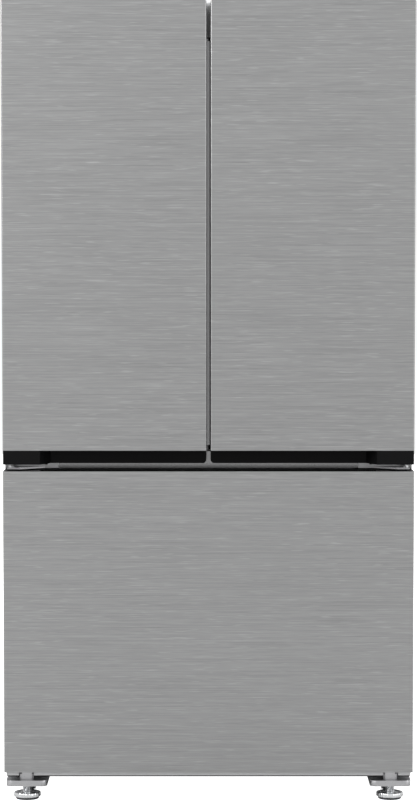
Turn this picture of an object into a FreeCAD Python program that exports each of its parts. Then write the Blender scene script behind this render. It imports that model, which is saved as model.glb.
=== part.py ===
import FreeCAD, Part
import os
from FreeCAD import Vector

# French door refrigerator: two upper doors over one freezer drawer.
# Millimetres. +Z is up, the front faces -Y, the origin is on the floor under the middle.
# Left means -X. The left-hand pieces are modelled and the right-hand ones are mirrored.

# ---- Overall size, with doors and drawer front
width = 908.0
height = 1770.0
depth = 720.0

# ---- Doors and drawer front
door_thickness = 62.0
seal_gap = 12.0          # from the back of a door to the cabinet, which the gasket fills
door_gap = 9.0           # between the two doors
skin = 0.8               # steel sheet on doors and drawer
edge_round = 3.0         # upright edges of the skins
corner_round = 5.0       # top corners of the doors, seen from the front
cap_inset = 0.4          # plastic caps stand this far inside the skin's face
panel_wall = 2.0         # moulded inner panels of doors and drawer
bottom_cap_face = 31.0   # height of door cap that shows below the skin
grip_depth = 42.0        # finger channel, from the front plane to its back wall
grip_rise = 16.0         # how far the channel goes up behind the skin's lower edge
grip_lip = 3.0           # plastic behind the skin's lower edge
grip_block_front = 82.0  # solid hinge end of the cap, along the front
grip_block_back = 104.0  # and along the channel's back wall
grip_end = 12.0          # closed end of the raised part of the channel
grip_round = 6.0
cap_wall = 8.0
cap_chamfer = 5.0
top_cap_height = 53.0
top_cap_drop = 2.0       # top cap below the skin's top edge
hinge_lip = 10.0         # what stays in front of the hinge pocket
hinge_pocket = 50.0
pocket_clearance = 4.0   # hinge pocket floor below the hinge arm

# ---- Heights, from the floor up
base_height = 45.0       # underside of the cabinet
drawer_lift = 11.0       # underside of the drawer front above that
drawer_height = 680.0
slot_height = 15.0       # between drawer front and doors
rail_below = 21.0        # mid rail, behind the top of the drawer
rail_above = 24.0        # and behind the bottom of the doors
cover_height = 22.0      # hinge cover strip on the cabinet
cover_drop = 1.0         # its top below the tops of the doors

# ---- Cabinet walls
sheet = 1.0
liner_wall = 2.0
wall_side = 45.0
wall_top = 43.0
wall_back = 74.0
freezer_floor = 70.0
machine_height = 275.0
machine_depth = 249.0
step_wall = 32.0         # insulation over and in front of the machine compartment
rail_depth = 6.0
bead_width = 226.0       # two shallow beads stiffen the back panel
bead_inset = 113.0       # bead from the middle and from the side of the panel
bead_margin = 74.0       # and from its top and bottom
cover_side_gap = 2.0
cover_depth = 120.0
cover_wall = 2.5
cover_round = 4.0
cover_slot_gap = 8.0     # on each side of a hinge arm
cover_slot_rise = 2.0

# ---- Door hinges
hinge_inset = 18.0       # pin axis from the side of the door
hinge_back = 20.0        # pin axis from the back of the door
pin_radius = 5.0
pin_end_gap = 2.0
running_clearance = 0.06
arm_width = 24.0
plate_thickness = 4.0
pin_length = 25.0
top_plate_extra = 20.0   # top plate wider than its arm
top_plate_setback = 4.0
top_plate_length = 86.0
top_screw_rows = (30.0, 75.0)
screw_edge = 8.0
screw_head_radius = 5.0
screw_head_height = 2.5
screw_clearance = 0.2
middle_arm_width = 112.0
middle_arm_inset = 8.0
middle_lift = 2.0        # middle bracket above the top of the drawer
middle_nose = 11.0       # in front of the pin
middle_notch = 16.0      # full depth only as far as this beside the pin
middle_web = 6.0
middle_slant = 30.0
middle_foot_thickness = 3.0
middle_foot_height = 15.0
middle_screw_rise = 8.0
middle_screw_count = 3
washer_rim = 3.0
washer_height = 4.0

# ---- Gaskets
gasket_width = 12.0
gasket_edge = 1.5        # from the free edge of a door
gasket_below = 9.0       # from the bottom of a door
gasket_above = 40.0      # from the top of a door
gasket_clearance = 0.4   # left between gasket and cabinet
drawer_gasket_below = 30.0  # below the freezer's floor
drawer_gasket_above = 3.0   # inner edge above its ceiling

# ---- Flipping mullion between the doors, carried by the left one
mullion_reach = 2.5      # past the middle of the gap
mullion_hinge_x = 46.0
mullion_hinge_back = 10.0
mullion_depth = 23.0
mullion_taper = 8.0
mullion_face = 2.0       # straight edge in front of the taper
mullion_web = 6.0
knuckle_radius = 7.0
knuckle_height = 60.0
knuckle_inset = 60.0     # from the end of the bar to the lug
mullion_pin_radius = 3.0
mullion_end_gap = 14.0
lug_height = 12.0
axial_gap = 0.5
knuckle_gap = 2.0        # between knuckle and bar
lug_half = 5.5
guide_height = 12.0
guide_length = 50.0
guide_reach = 16.0       # past the mullion's hinge axis
guide_end = 8.0          # from the middle of the refrigerator
guide_wall = 6.0
guide_roof = 3.0
guide_pin_radius = 3.0
guide_pin_x = 20.0
guide_pin_back = 11.0
guide_pin_height = 10.0

# ---- Door liner and bins
ring_gap = 7.0           # raised frame from the compartment's side wall
ring_free = 60.0         # and from the door's free side
ring_width = 14.0
ring_depth = 45.0
ring_margin = 26.0       # inside the compartment's top and bottom
ring_round = 6.0
bin_clearance = 1.0
bin_depth = 96.0
bin_height = 120.0
bin_wall = 2.5
bin_round = 10.0
bin_first = 210.0        # lowest bin above the compartment floor
bin_pitch = 238.0
bin_headroom = 40.0      # least height left over the top bin

# ---- Fridge compartment
duct_depth = 18.0
duct_side_gap = 3.0
duct_top_gap = 2.0
duct_back_gap = 0.5
duct_round = 5.0
duct_slot_x = 203.0
duct_slot_length = 120.0
duct_slot_height = 8.0
duct_slot_depth = 8.0
duct_slot_rise = 60.0
ladder_width = 16.0
ladder_depth = 8.0
ladder_below = 120.0     # below the lowest shelf
ladder_top_gap = 20.0
ladder_pitch = 40.0
ladder_slot_rise = 30.0
ladder_slot_width = 6.0
ladder_slot_height = 18.0
ladder_web = 2.0
shelf_front = 135.0      # shelf front edge behind the cabinet front
shelf_gap = 16.0         # between left and right shelves
shelf_side_gap = 4.0
shelf_glass = 4.0
shelf_frame = 12.0
shelf_rim = 14.0
shelf_round = 4.0
shelf_first = 425.0      # above the compartment floor
shelf_pitch = 245.0
shelf_headroom = 200.0   # least height left over the top shelf
shelf_back_gap = 4.0
crisper_height = 170.0
crisper_front = 126.0    # behind the cabinet front
crisper_back_gap = 46.0
crisper_side_gap = 10.0
crisper_half_gap = 6.0   # from the middle
crisper_wall = 3.0
crisper_floor_gap = 8.0
crisper_rim_gap = 6.0
crisper_lip = 10.0
crisper_lip_height = 24.0
crisper_lip_round = 4.0
crisper_grip_margin = 60.0
crisper_grip_top = 6.0
cover_front = 126.0
light_width = 360.0
light_depth = 90.0
light_height = 8.0
light_setback = 150.0
light_round = 5.0

# ---- Freezer drawer
drawer_cap_show = 9.0    # light cap that shows below the drawer's skin
drawer_cap_low = 17.0    # bottom cap, up from the underside
drawer_cap_high = 45.0   # top cap, down from the top
under_side_inset = 5.0
under_front_inset = 6.0
under_chamfer = 3.0
plug_depth = 28.0        # raised part of the drawer's inner panel
plug_margin = 14.0
plug_side_gap = 28.0
plug_round = 8.0
basket_side_gap = 37.0
basket_back_gap = 29.0   # in front of the step
basket_wall = 3.0
basket_front_gap = 1.0
basket_bottom_gap = 15.0
basket_top_gap = 5.0     # body of the basket below its rims
rim_overlap = 3.0        # basket rim over the runner
slide_height = 44.0
slide_above_step = 44.0
slide_depth = 12.0
slide_wall = 3.0
slide_gap = 0.6
slide_setback = 15.0
slide_end_gap = 10.0
slide_proud = 4.0        # runner stands out of its channel
hanger_thickness = 3.0
hanger_below = 30.0
hanger_above = 10.0
slide_back_gap = 86.0
tray_height = 110.0
tray_gap = 2.0
tray_length = 300.0
tray_wall = 3.0
tray_front_gap = 10.0
tray_side_gap = 4.0
tray_wing = 12.0

# ---- Cold air and fans
freezer_duct_side_gap = 29.0
freezer_duct_depth = 88.0
freezer_duct_gap = 2.0
freezer_duct_round = 8.0
duct_wall = 3.0
return_slot_count = 6
return_slot_pitch = 60.0
return_slot_length = 40.0
return_slot_height = 8.0
return_slot_rise = 20.0
fan_radius = 68.0
freezer_fan_radius = 54.0
freezer_fan_drop = 40.0
freezer_fan_setback = 5.0
fan_tip_gap = 4.0
fan_width = 18.0
fan_hub_radius = 18.0
blade_count = 5
blade_half = 1.0
blade_root = 3.0
blade_angle = 40.0
blade_margin = 1.0
shaft_radius = 3.0
motor_gap = 4.0
motor_length = 22.0
motor_rim = 4.0
mount_arms = 3
arm_half = 4.0
arm_back = 6.0
arm_thickness = 6.0
arm_reach = 14.0
arm_start_angle = 60.0
fin_count = 13
fin_half = 1.0
fin_edge = 10.0
evaporator_width = 480.0
evaporator_top_gap = 39.0
evaporator_depth = 40.0
evaporator_gap = 12.0
tube_radius = 4.0
tube_pitch = 45.0
tube_edge = 10.0

# ---- Machine compartment
compressor_x = -227.0
condenser_x = 227.0
compressor_radius = 72.0
compressor_height = 165.0
compressor_lift = 12.0
compressor_round = 30.0
base_plate_margin = 18.0
base_plate_half = 50.0
base_plate_low = 8.0
base_plate_thickness = 6.0
rubber_radius = 9.0
rubber_edge = 12.0
terminal_overlap = 8.0
terminal_depth = 30.0
terminal_half = 30.0
terminal_span = (50.0, 110.0)
pipe_radius = 4.0
pipe_offset = 20.0
pipe_height = 90.0
pipe_reach = 22.0
condenser_size = 180.0
condenser_depth = 42.0
condenser_lift = 12.0
groove_count = 11
groove_height = 6.0
groove_margin = 12.0
groove_end = 10.0
core_web = 8.0
fan_plate_gap = 9.0      # fan plate from the fan's front face
fan_plate_thickness = 3.0
fan_air_gap = 46.0       # fan to condenser
drip_tray_height = 30.0
drip_tray_half = 150.0
drip_tray_front_gap = 20.0
drip_tray_back_gap = 24.0
drip_tray_wall = 2.0
machine_cover_side_gap = 1.0
machine_cover_lift = 12.0
machine_cover_gap = 2.0
machine_cover_thickness = 1.5
vent_count = 12
vent_start = 120.0
vent_pitch = 20.0
vent_half = 4.0
vent_above = 110.0
vent_below = 60.0
inlet_half = 26.0
inlet_height = 34.0
inlet_depth = 29.5
inlet_recess = 0.5
inlet_lift = 40.0
inlet_round = 4.0
inlet_wall = 6.0
inlet_socket = 20.0
inlet_clearance = 0.5
inlet_flange = 6.0
inlet_flange_depth = 4.5
blade_places = ((-10.0, -2.0), (0.0, 3.0), (10.0, -2.0))
contact_half = 1.0
contact_rise = 3.0
contact_recess = 3.5

# ---- Feet and rollers
foot_x = 405.0
foot_setback = 38.0      # foot axis behind the front plane
foot_radius = 30.0       # chromed disc that is turned by hand
foot_height = 15.0       # its top above the floor
foot_round = 2.5
sole_radius = 26.0       # sole that stays still on the floor
sole_height = 4.0
sole_gap = 0.3
spigot_radius = 6.0
spigot_length = 2.0
stem_radius = 10.0
nut_size = 30.0          # square nut welded on the bracket
nut_height = 19.0
nut_chamfer = 4.0
nut_cover = 2.0          # stem top below the top of the nut
thread_gap = 0.3
bracket_width = 91.0
bracket_height = 13.0
bracket_length = 150.0
bracket_setback = 8.0
bracket_round = 14.0
nut_clearance = 2.0
roller_radius = 14.0
rear_roller_radius = 20.0
roller_width = 20.0
roller_round = 2.0
roller_side_gap = 1.0
roller_lift = 2.0        # front rollers hang clear while the feet carry the load
axle_radius = 4.0
axle_end = 1.5
ear_thickness = 3.0
ear_margin = 6.0
ear_round_gap = 1.0
front_roller_setback = 110.0
rear_roller_setback = 60.0
rear_roller_x = 380.0

# ---- Planes that follow from the sizes above
OVER = 1.0               # cutting tools reach this far past what they cut
NEAR = 0.01              # planes closer than this count as the same
FULL_TURN = 360.0        # degrees
QUARTER_TURN = 90.0
side = width / 2
front = -depth / 2
back = depth / 2
door_back = front + door_thickness
cabinet_front = door_back + seal_gap
cabinet_top = height - cover_height - cover_drop
door_free = -door_gap / 2
drawer_bottom = base_height + drawer_lift
drawer_top = drawer_bottom + drawer_height
door_bottom = drawer_top + slot_height
skin_bottom = door_bottom + bottom_cap_face
cap_top = skin_bottom + grip_rise + cap_wall
top_cap_bottom = height - top_cap_height
panel_front = door_back - panel_wall
hinge_x = -side + hinge_inset
hinge_y = door_back - hinge_back
rail_bottom = drawer_top - rail_below
rail_top = door_bottom + rail_above
opening = side - wall_side
fridge_top = cabinet_top - wall_top
fridge_back = back - wall_back
freezer_bottom = base_height + freezer_floor
machine_top = base_height + machine_height
machine_front = back - sheet - machine_depth
machine_floor = base_height + sheet
machine_middle = (machine_front + back) / 2
step_z = machine_top + step_wall
step_y = machine_front - step_wall
flange_back = cabinet_front + sheet
gasket_end = cabinet_front - gasket_clearance
crisper_bottom = rail_top + crisper_floor_gap
crisper_top = crisper_bottom + crisper_height
crisper_cover_top = crisper_top + crisper_rim_gap + shelf_rim
ring_left = -opening + ring_gap
ring_right = door_free - ring_free
bin_rows = 1 + int((fridge_top - rail_top - bin_first - bin_height - bin_headroom) // bin_pitch)
shelf_rows = 1 + int((fridge_top - rail_top - shelf_first - shelf_headroom) // shelf_pitch)
crisper_y = cabinet_front + crisper_front
crisper_back = fridge_back - crisper_back_gap
slide_low = step_z + slide_above_step
slide_high = slide_low + slide_height
slide_front = flange_back + slide_setback
slide_back = fridge_back - slide_back_gap
basket_half = opening - basket_side_gap
basket_y = door_back + plug_depth + basket_front_gap
basket_back = step_y - basket_back_gap
basket_bottom = freezer_bottom + basket_bottom_gap
basket_top = slide_high - basket_top_gap
tray_half = basket_half - tray_side_gap
tray_y = door_back + plug_depth + tray_front_gap
tray_bottom = slide_high + basket_wall + tray_gap
duct_face = fridge_back - duct_depth
freezer_duct_face = fridge_back - freezer_duct_depth
freezer_fan_z = rail_bottom - freezer_fan_radius - freezer_fan_drop
evaporator_low = step_z + evaporator_gap
evaporator_top = freezer_fan_z - freezer_fan_radius - arm_reach - evaporator_top_gap
evaporator_middle = (evaporator_low + evaporator_top) / 2
tube_steps = int((evaporator_top - evaporator_middle - tube_edge) // tube_pitch)
foot_y = front + foot_setback
nut_top = base_height + nut_height


# ---- Helpers
def block(x, y, z):
    """Box between three pairs of planes."""
    corner = Vector(x[0], y[0], z[0])
    return Part.makeBox(x[1] - x[0], y[1] - y[0], z[1] - z[0], corner)


def rod(axis, radius, centre, span):
    """Round bar along one axis; centre holds the other two coordinates in X, Y, Z order."""
    if axis == "x":
        return Part.makeCylinder(radius, span[1] - span[0], Vector(span[0], *centre), Vector(1, 0, 0))
    if axis == "y":
        start = Vector(centre[0], span[0], centre[1])
        return Part.makeCylinder(radius, span[1] - span[0], start, Vector(0, 1, 0))
    return Part.makeCylinder(radius, span[1] - span[0], Vector(*centre, span[0]), Vector(0, 0, 1))


def join(*shapes):
    """One solid from touching shapes."""
    whole = shapes[0]
    for extra in shapes[1:]:
        whole = whole.fuse(extra)
    return whole.removeSplitter()


def cut(shape, *tools):
    for tool in tools:
        shape = shape.cut(tool)
    return shape


def edges_on(shape, along, **planes):
    """Straight edges parallel to one axis that lie on the named planes, such as x=(0, 10)."""
    chosen = []
    for edge in shape.Edges:
        extent = edge.BoundBox
        sizes = {"x": extent.XLength, "y": extent.YLength, "z": extent.ZLength}
        places = {"x": extent.XMin, "y": extent.YMin, "z": extent.ZMin}
        straight = all(size < NEAR for name, size in sizes.items() if name != along)
        placed = all(
            any(abs(places[name] - value) < NEAR for value in values)
            for name, values in planes.items()
        )
        if straight and placed and sizes[along] > NEAR:
            chosen.append(edge)
    return chosen


def rounded(shape, radius, along, **planes):
    return shape.makeFillet(radius, edges_on(shape, along, **planes))


def chamfered(shape, size, along, **planes):
    return shape.makeChamfer(size, edges_on(shape, along, **planes))


def front_rounded(x, y, z, upright, top):
    """Block with its front upright edges rounded, and its top corners seen from the front."""
    plan = rounded(block(x, y, z), upright, "z", y=(y[0],))
    face = rounded(block(x, y, z), top, "y", x=x, z=(z[1],))
    return plan.common(face)


def prism(axis, points, span):
    """Straight-sided prism: points are in the plane across the axis, in X, Y, Z order."""
    place = {
        "x": lambda a, b: Vector(span[0], a, b),
        "y": lambda a, b: Vector(a, span[0], b),
        "z": lambda a, b: Vector(a, b, span[0]),
    }[axis]
    corners = [place(a, b) for a, b in points]
    face = Part.Face(Part.makePolygon(corners + corners[:1]))
    length = span[1] - span[0]
    direction = {"x": Vector(length, 0, 0), "y": Vector(0, length, 0), "z": Vector(0, 0, length)}[axis]
    return face.extrude(direction)


def tray(x, y, z, wall):
    """Open-topped box with a floor."""
    inside = block((x[0] + wall, x[1] - wall), (y[0] + wall, y[1] - wall), (z[0] + wall, z[1] + wall))
    return cut(block(x, y, z), inside)


def ring(x, y, z, wall):
    """Rectangular frame seen from the front."""
    inside = block((x[0] + wall, x[1] - wall), (y[0] - wall, y[1] + wall), (z[0] + wall, z[1] - wall))
    return cut(block(x, y, z), inside)


def mirrored(shape):
    return shape.mirror(Vector(0, 0, 0), Vector(1, 0, 0))


def both(shape):
    """A left-hand piece with its right-hand twin, as separate solids."""
    return Part.makeCompound([shape, mirrored(shape)])


def rolled_edges(shape):
    return [edge for edge in shape.Edges if edge.Curve.TypeId == "Part::GeomCircle"]


# ---- Cabinet
def outer_shell():
    """Sides and top in one folded sheet, with a flange round the openings in front."""
    body = block((-side, side), (cabinet_front, back), (base_height, cabinet_top))
    inside = block((-side + sheet, side - sheet), (flange_back, back + OVER),
                   (base_height - OVER, cabinet_top - sheet))
    fridge_mouth = block((-opening, opening), (cabinet_front - OVER, flange_back + OVER),
                         (rail_top, fridge_top))
    freezer_mouth = block((-opening, opening), (cabinet_front - OVER, flange_back + OVER),
                          (freezer_bottom, rail_bottom))
    rail_seat = block((-side + sheet, side - sheet), (cabinet_front - OVER, flange_back + OVER),
                      (rail_bottom, rail_top))
    return cut(body, inside, fridge_mouth, freezer_mouth, rail_seat)


def fridge_liner():
    wall = liner_wall
    outer = block((-opening - wall, opening + wall), (flange_back, fridge_back + wall),
                  (rail_top - wall, fridge_top + wall))
    cavity = block((-opening, opening), (flange_back - wall, fridge_back), (rail_top, fridge_top))
    return cut(outer, cavity)


def freezer_profile(grow):
    """Side outline of the freezer compartment, stepped over the machine compartment."""
    floor = freezer_bottom - grow
    roof = rail_bottom + grow
    return [
        (flange_back, floor),
        (step_y + grow, floor),
        (step_y + grow, step_z - grow),
        (fridge_back + grow, step_z - grow),
        (fridge_back + grow, roof),
        (flange_back, roof),
    ]


def freezer_block(grow):
    half = opening + grow
    return prism("x", freezer_profile(grow), (-half, half))


def freezer_liner():
    return cut(freezer_block(liner_wall), freezer_block(0.0))


def base_pan():
    """Folded steel floor, with the wall and roof of the machine compartment and rear roller ears."""
    half = side - sheet
    rear = back - sheet
    floor = block((-half, half), (flange_back, rear), (base_height, base_height + sheet))
    wall = block((-half, half), (machine_front, machine_front + sheet),
                 (base_height + sheet, machine_top - sheet))
    roof = block((-half, half), (machine_front, rear), (machine_top - sheet, machine_top))
    pan = join(floor, wall, roof)
    for x in (-rear_roller_x, rear_roller_x):
        pan = pan.fuse(roller_ears(x, back - rear_roller_setback, rear_roller_radius, base_height))
    return pan.removeSplitter()


def roller_ears(x, y, centre_z, top):
    """Two ears with a riveted axle between them, hanging from the plane called top."""
    reach = roller_width / 2 + roller_side_gap
    half = axle_radius + ear_margin
    end = reach + ear_thickness + axle_end
    ears = []
    for low in (x - reach - ear_thickness, x + reach):
        ear = block((low, low + ear_thickness), (y - half, y + half), (centre_z - half, top))
        ears.append(rounded(ear, half - ear_round_gap, "x", y=(y - half, y + half), z=(centre_z - half,)))
    axle = rod("x", axle_radius, (y, centre_z), (x - end, x + end))
    return ears[0].fuse(ears[1]).fuse(axle)


def insulation_foam():
    """Foam between the shell and the liners."""
    half = side - sheet
    body = block((-half, half), (flange_back, back - sheet), (base_height + sheet, cabinet_top - sheet))
    wall = liner_wall
    fridge_hole = block((-opening - wall, opening + wall), (flange_back, fridge_back + wall),
                        (rail_top - wall, fridge_top + wall))
    machine_hole = block((-half, half), (machine_front, back), (base_height, machine_top))
    rail_hole = block((-half, half), (flange_back, cabinet_front + rail_depth), (rail_bottom, rail_top))
    return cut(body, fridge_hole, freezer_block(wall), machine_hole, rail_hole)


def mid_rail():
    """Steel-faced rail across the front between the two compartments."""
    half = side - sheet
    rail = block((-half, half), (cabinet_front, cabinet_front + rail_depth), (rail_bottom, rail_top))
    liner_gap = block((-opening - liner_wall, opening + liner_wall),
                      (flange_back, cabinet_front + rail_depth + sheet),
                      (rail_top - liner_wall, rail_top))
    freezer_gap = liner_gap.translated(Vector(0, 0, rail_bottom - rail_top + liner_wall))
    return cut(rail, liner_gap, freezer_gap)


def back_panel():
    """Rear sheet with two shallow upright beads."""
    half = side - sheet
    panel = block((-half, half), (back - sheet, back), (machine_top, cabinet_top - sheet))
    for x in (-half + bead_inset, half - bead_inset - bead_width):
        bead = block((x, x + bead_width), (back - sheet / 2, back + OVER),
                     (machine_top + bead_margin, cabinet_top - bead_margin))
        panel = panel.cut(bead)
    return panel


def hinge_cover():
    """Full-width strip that hides the hinge plates and the door wiring."""
    x = (-side + cover_side_gap, side - cover_side_gap)
    y = (flange_back, flange_back + cover_depth)
    z = (cabinet_top, cabinet_top + cover_height)
    wall = cover_wall
    shell = rounded(block(x, y, z), cover_round, "x", y=y, z=(z[1],))
    inside = block((x[0] + wall, x[1] - wall), (y[0] + wall, y[1] - wall), (z[0] - wall, z[1] - wall))
    shell = cut(shell, inside)
    reach = arm_width / 2 + cover_slot_gap
    for middle in (-hinge_x, hinge_x):
        slot = block((middle - reach, middle + reach), (y[0] - OVER, y[0] + wall + OVER),
                     (z[0] - OVER, z[0] + plate_thickness + cover_slot_rise))
        shell = shell.cut(slot)
    return shell


def top_hinge():
    """Plate on the cabinet with an arm over the door and a pin down into it."""
    half = arm_width / 2
    z = (cabinet_top, cabinet_top + plate_thickness)
    plate_y = flange_back + top_plate_setback
    plate = block((hinge_x - half, hinge_x + half + top_plate_extra),
                  (plate_y, plate_y + top_plate_length), z)
    arm = block((hinge_x - half, hinge_x + half), (hinge_y, plate_y + OVER), z)
    nose = rod("z", half, (hinge_x, hinge_y), z)
    pin = rod("z", pin_radius, (hinge_x, hinge_y), (cabinet_top - pin_length, z[1]))
    hinge = join(plate, arm, nose, pin)
    for x, y in top_screw_places():
        hinge = hinge.cut(rod("z", screw_head_radius / 2 + screw_clearance, (x, y), z))
    return hinge


def top_screw_places():
    half = arm_width / 2
    sides = (hinge_x - half + screw_edge, hinge_x + half + top_plate_extra - screw_edge)
    return [(x, flange_back + row) for x in sides for row in top_screw_rows]


def middle_hinge():
    """Bracket on the mid rail, with a pin up into the door."""
    left = -side + middle_arm_inset
    right = left + middle_arm_width
    low = drawer_top + middle_lift
    z = (low, low + plate_thickness)
    nose = hinge_y - middle_nose
    web = cabinet_front - middle_web
    plate = block((left, right), (nose, cabinet_front), z)
    notch = prism("z", [
        (hinge_x + middle_notch, nose - OVER),
        (right + OVER, nose - OVER),
        (right + OVER, web),
        (right - middle_slant, web),
    ], (z[0] - OVER, z[1] + OVER))
    foot = block((left, right), (cabinet_front - middle_foot_thickness, cabinet_front),
                 (z[0], z[1] + middle_foot_height))
    washer = rod("z", pin_radius + washer_rim, (hinge_x, hinge_y), (z[1], z[1] + washer_height))
    pin = rod("z", pin_radius, (hinge_x, hinge_y), (z[0], door_bottom + pin_length))
    return join(cut(plate, notch), foot, washer, pin)


def middle_screw_places():
    left = -side + middle_arm_inset
    level = drawer_top + middle_lift + plate_thickness + middle_screw_rise
    pitch = middle_arm_width / (middle_screw_count + 1)
    return [(left + pitch * (index + 1), level) for index in range(middle_screw_count)]


def hinge_screws():
    """Screws of all four hinge plates, each a head and a shank."""
    screws = []
    top = cabinet_top + plate_thickness
    for x, y in top_screw_places():
        head = rod("z", screw_head_radius, (x, y), (top, top + screw_head_height))
        shank = rod("z", screw_head_radius / 2, (x, y), (cabinet_top, top))
        screws.append(join(head, shank))
    face = cabinet_front - middle_foot_thickness
    for x, z in middle_screw_places():
        screws.append(rod("y", screw_head_radius, (x, z), (face - screw_head_height, face)))
    return Part.makeCompound(screws + [mirrored(screw) for screw in screws])


# ---- Doors, modelled as the left one
def door_skin():
    """Sheet steel over the front and both sides, open at top, bottom and back."""
    x = (-side, door_free)
    y = (front, panel_front)
    z = (skin_bottom, height)
    outer = front_rounded(x, y, z, edge_round, corner_round)
    inside = block((x[0] + skin, x[1] - skin), (front + skin, door_back), (z[0] - skin, z[1] + skin))
    inside = rounded(inside, edge_round - skin, "z", y=(front + skin,))
    return cut(outer, inside, hinge_pocket_space())


def hinge_pocket_space():
    """Room for the fixed hinge arm while the door turns round it."""
    return block((-side - skin, -side + hinge_pocket), (front + hinge_lip, door_back + skin),
                 (cabinet_top - pocket_clearance, height + skin))


def door_core_plan(y_back):
    """Inside of the skin, from its front to the given plane."""
    return (-side + skin, door_free - skin), (front + skin, y_back)


def door_foam():
    x, y = door_core_plan(panel_front)
    foam = block(x, y, (cap_top, top_cap_bottom))
    return rounded(foam, edge_round - skin, "z", y=(front + skin,))


def top_cap():
    x, y = door_core_plan(door_back)
    z = (top_cap_bottom, height - top_cap_drop)
    cap = front_rounded(x, y, z, edge_round - skin, corner_round - skin)
    bore_bottom = cabinet_top - pin_length - pin_end_gap
    bore = rod("z", pin_radius + running_clearance, (hinge_x, hinge_y), (bore_bottom, height))
    return cut(cap, hinge_pocket_space(), bore)


def grip_plan(front_y, end_x):
    """Plan of the finger channel, with its slanted end near the hinge."""
    share = (front_y - front) / grip_depth
    start = -side + grip_block_front + share * (grip_block_back - grip_block_front)
    return [
        (start, front_y),
        (end_x, front_y),
        (end_x, front + grip_depth),
        (-side + grip_block_back, front + grip_depth),
    ]


def bottom_cap():
    """Black cap whose underside is the finger channel for opening the door."""
    low_x = (-side + cap_inset, door_free - cap_inset)
    low_y = (front + cap_inset, door_back)
    low = block(low_x, low_y, (door_bottom, skin_bottom))
    low = rounded(low, edge_round - cap_inset, "z", y=(low_y[0],))
    corner = [
        (low_x[1] - cap_chamfer, door_bottom),
        (low_x[1] + OVER, door_bottom - OVER),
        (low_x[1] + OVER, door_bottom + cap_chamfer + OVER),
    ]
    low = low.cut(prism("y", corner, (front - OVER, door_back + OVER)))
    x, y = door_core_plan(door_back)
    high = rounded(block(x, y, (skin_bottom, cap_top)), edge_round - skin, "z", y=(y[0],))
    lower_channel = prism("z", grip_plan(front, 0.0), (door_bottom - OVER, skin_bottom))
    upper_plan = grip_plan(front + skin + grip_lip, door_free - grip_end)
    upper_channel = prism("z", upper_plan, (skin_bottom - OVER, skin_bottom + grip_rise))
    bore = rod("z", pin_radius + running_clearance, (hinge_x, hinge_y),
               (door_bottom - OVER, door_bottom + pin_length + pin_end_gap))
    return cut(join(low, high), lower_channel, upper_channel, bore)


def door_liner():
    """Inner panel with a raised frame that the bins hang in."""
    x = (-side + skin, door_free - skin)
    panel = block(x, (panel_front, door_back), (cap_top, top_cap_bottom))
    frame_x = (ring_left, ring_right)
    frame_z = (max(rail_top + ring_margin, cap_top), min(fridge_top - ring_margin, top_cap_bottom))
    frame = ring(frame_x, (door_back, door_back + ring_depth), frame_z, ring_width)
    frame = rounded(frame, ring_round, "z", x=frame_x, y=(door_back + ring_depth,))
    return join(panel, frame)


def door_gasket():
    x = (hinge_x, door_free - gasket_edge)
    z = (door_bottom + gasket_below, height - gasket_above)
    return ring(x, (door_back, gasket_end), z, gasket_width)


def door_bins():
    """Bins between the uprights of the door liner's frame."""
    x = (ring_left + ring_width + bin_clearance, ring_right - ring_width - bin_clearance)
    y = (door_back + bin_clearance, door_back + bin_clearance + bin_depth)
    bins = []
    for row in range(bin_rows):
        low = rail_top + bin_first + row * bin_pitch
        shell = block(x, y, (low, low + bin_height))
        shell = rounded(shell, bin_round, "z", y=(y[1],))
        inside = block((x[0] + bin_wall, x[1] - bin_wall), (y[0] + bin_wall, y[1] - bin_wall),
                       (low + bin_wall, low + bin_height + OVER))
        inside = rounded(inside, bin_round - bin_wall, "z", y=(y[1] - bin_wall,))
        bins.append(cut(shell, inside))
    return Part.makeCompound(bins)


# ---- Mullion that closes the gap between the doors
def mullion_axis():
    return -mullion_hinge_x, cabinet_front + mullion_hinge_back


def mullion_spans():
    """Heights of the mullion and of its two hinge knuckles."""
    low = rail_top + mullion_end_gap
    high = fridge_top - mullion_end_gap - guide_height / 2
    inset = lug_height + knuckle_inset
    return low, high, (low + inset, high - inset - knuckle_height)


def mullion_bar():
    axis_x, axis_y = mullion_axis()
    low, high, knuckles = mullion_spans()
    left = axis_x + knuckle_radius + knuckle_gap
    tip = mullion_reach
    rear = cabinet_front + mullion_depth
    plan = [
        (left, cabinet_front),
        (tip, cabinet_front),
        (tip, cabinet_front + mullion_face),
        (tip - mullion_taper, rear),
        (left, rear),
    ]
    bar = prism("z", plan, (low, high))
    half_web = mullion_web / 2
    for start in knuckles:
        span = (start, start + knuckle_height)
        web = block((axis_x, left + OVER), (axis_y - half_web, axis_y + half_web), span)
        pin_span = (span[0] - lug_height, span[1] + lug_height)
        pin = rod("z", mullion_pin_radius, (axis_x, axis_y), pin_span)
        bar = bar.fuse(web).fuse(rod("z", knuckle_radius, (axis_x, axis_y), span)).fuse(pin)
    guide_pin = rod("z", guide_pin_radius, (-guide_pin_x, cabinet_front + guide_pin_back),
                    (high, high + guide_pin_height))
    return join(bar, guide_pin)


def mullion_lugs():
    """Lugs on the left door's liner that hold the mullion's pins."""
    axis_x, axis_y = mullion_axis()
    knuckles = mullion_spans()[2]
    lugs = []
    for start in knuckles:
        for low in (start - lug_height, start + knuckle_height + axial_gap):
            span = (low, low + lug_height - axial_gap)
            lug = block((axis_x - lug_half, axis_x + lug_half), (door_back, axis_y + lug_half), span)
            bore = rod("z", mullion_pin_radius + running_clearance, (axis_x, axis_y), span)
            lugs.append(cut(lug, bore))
    return lugs


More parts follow.
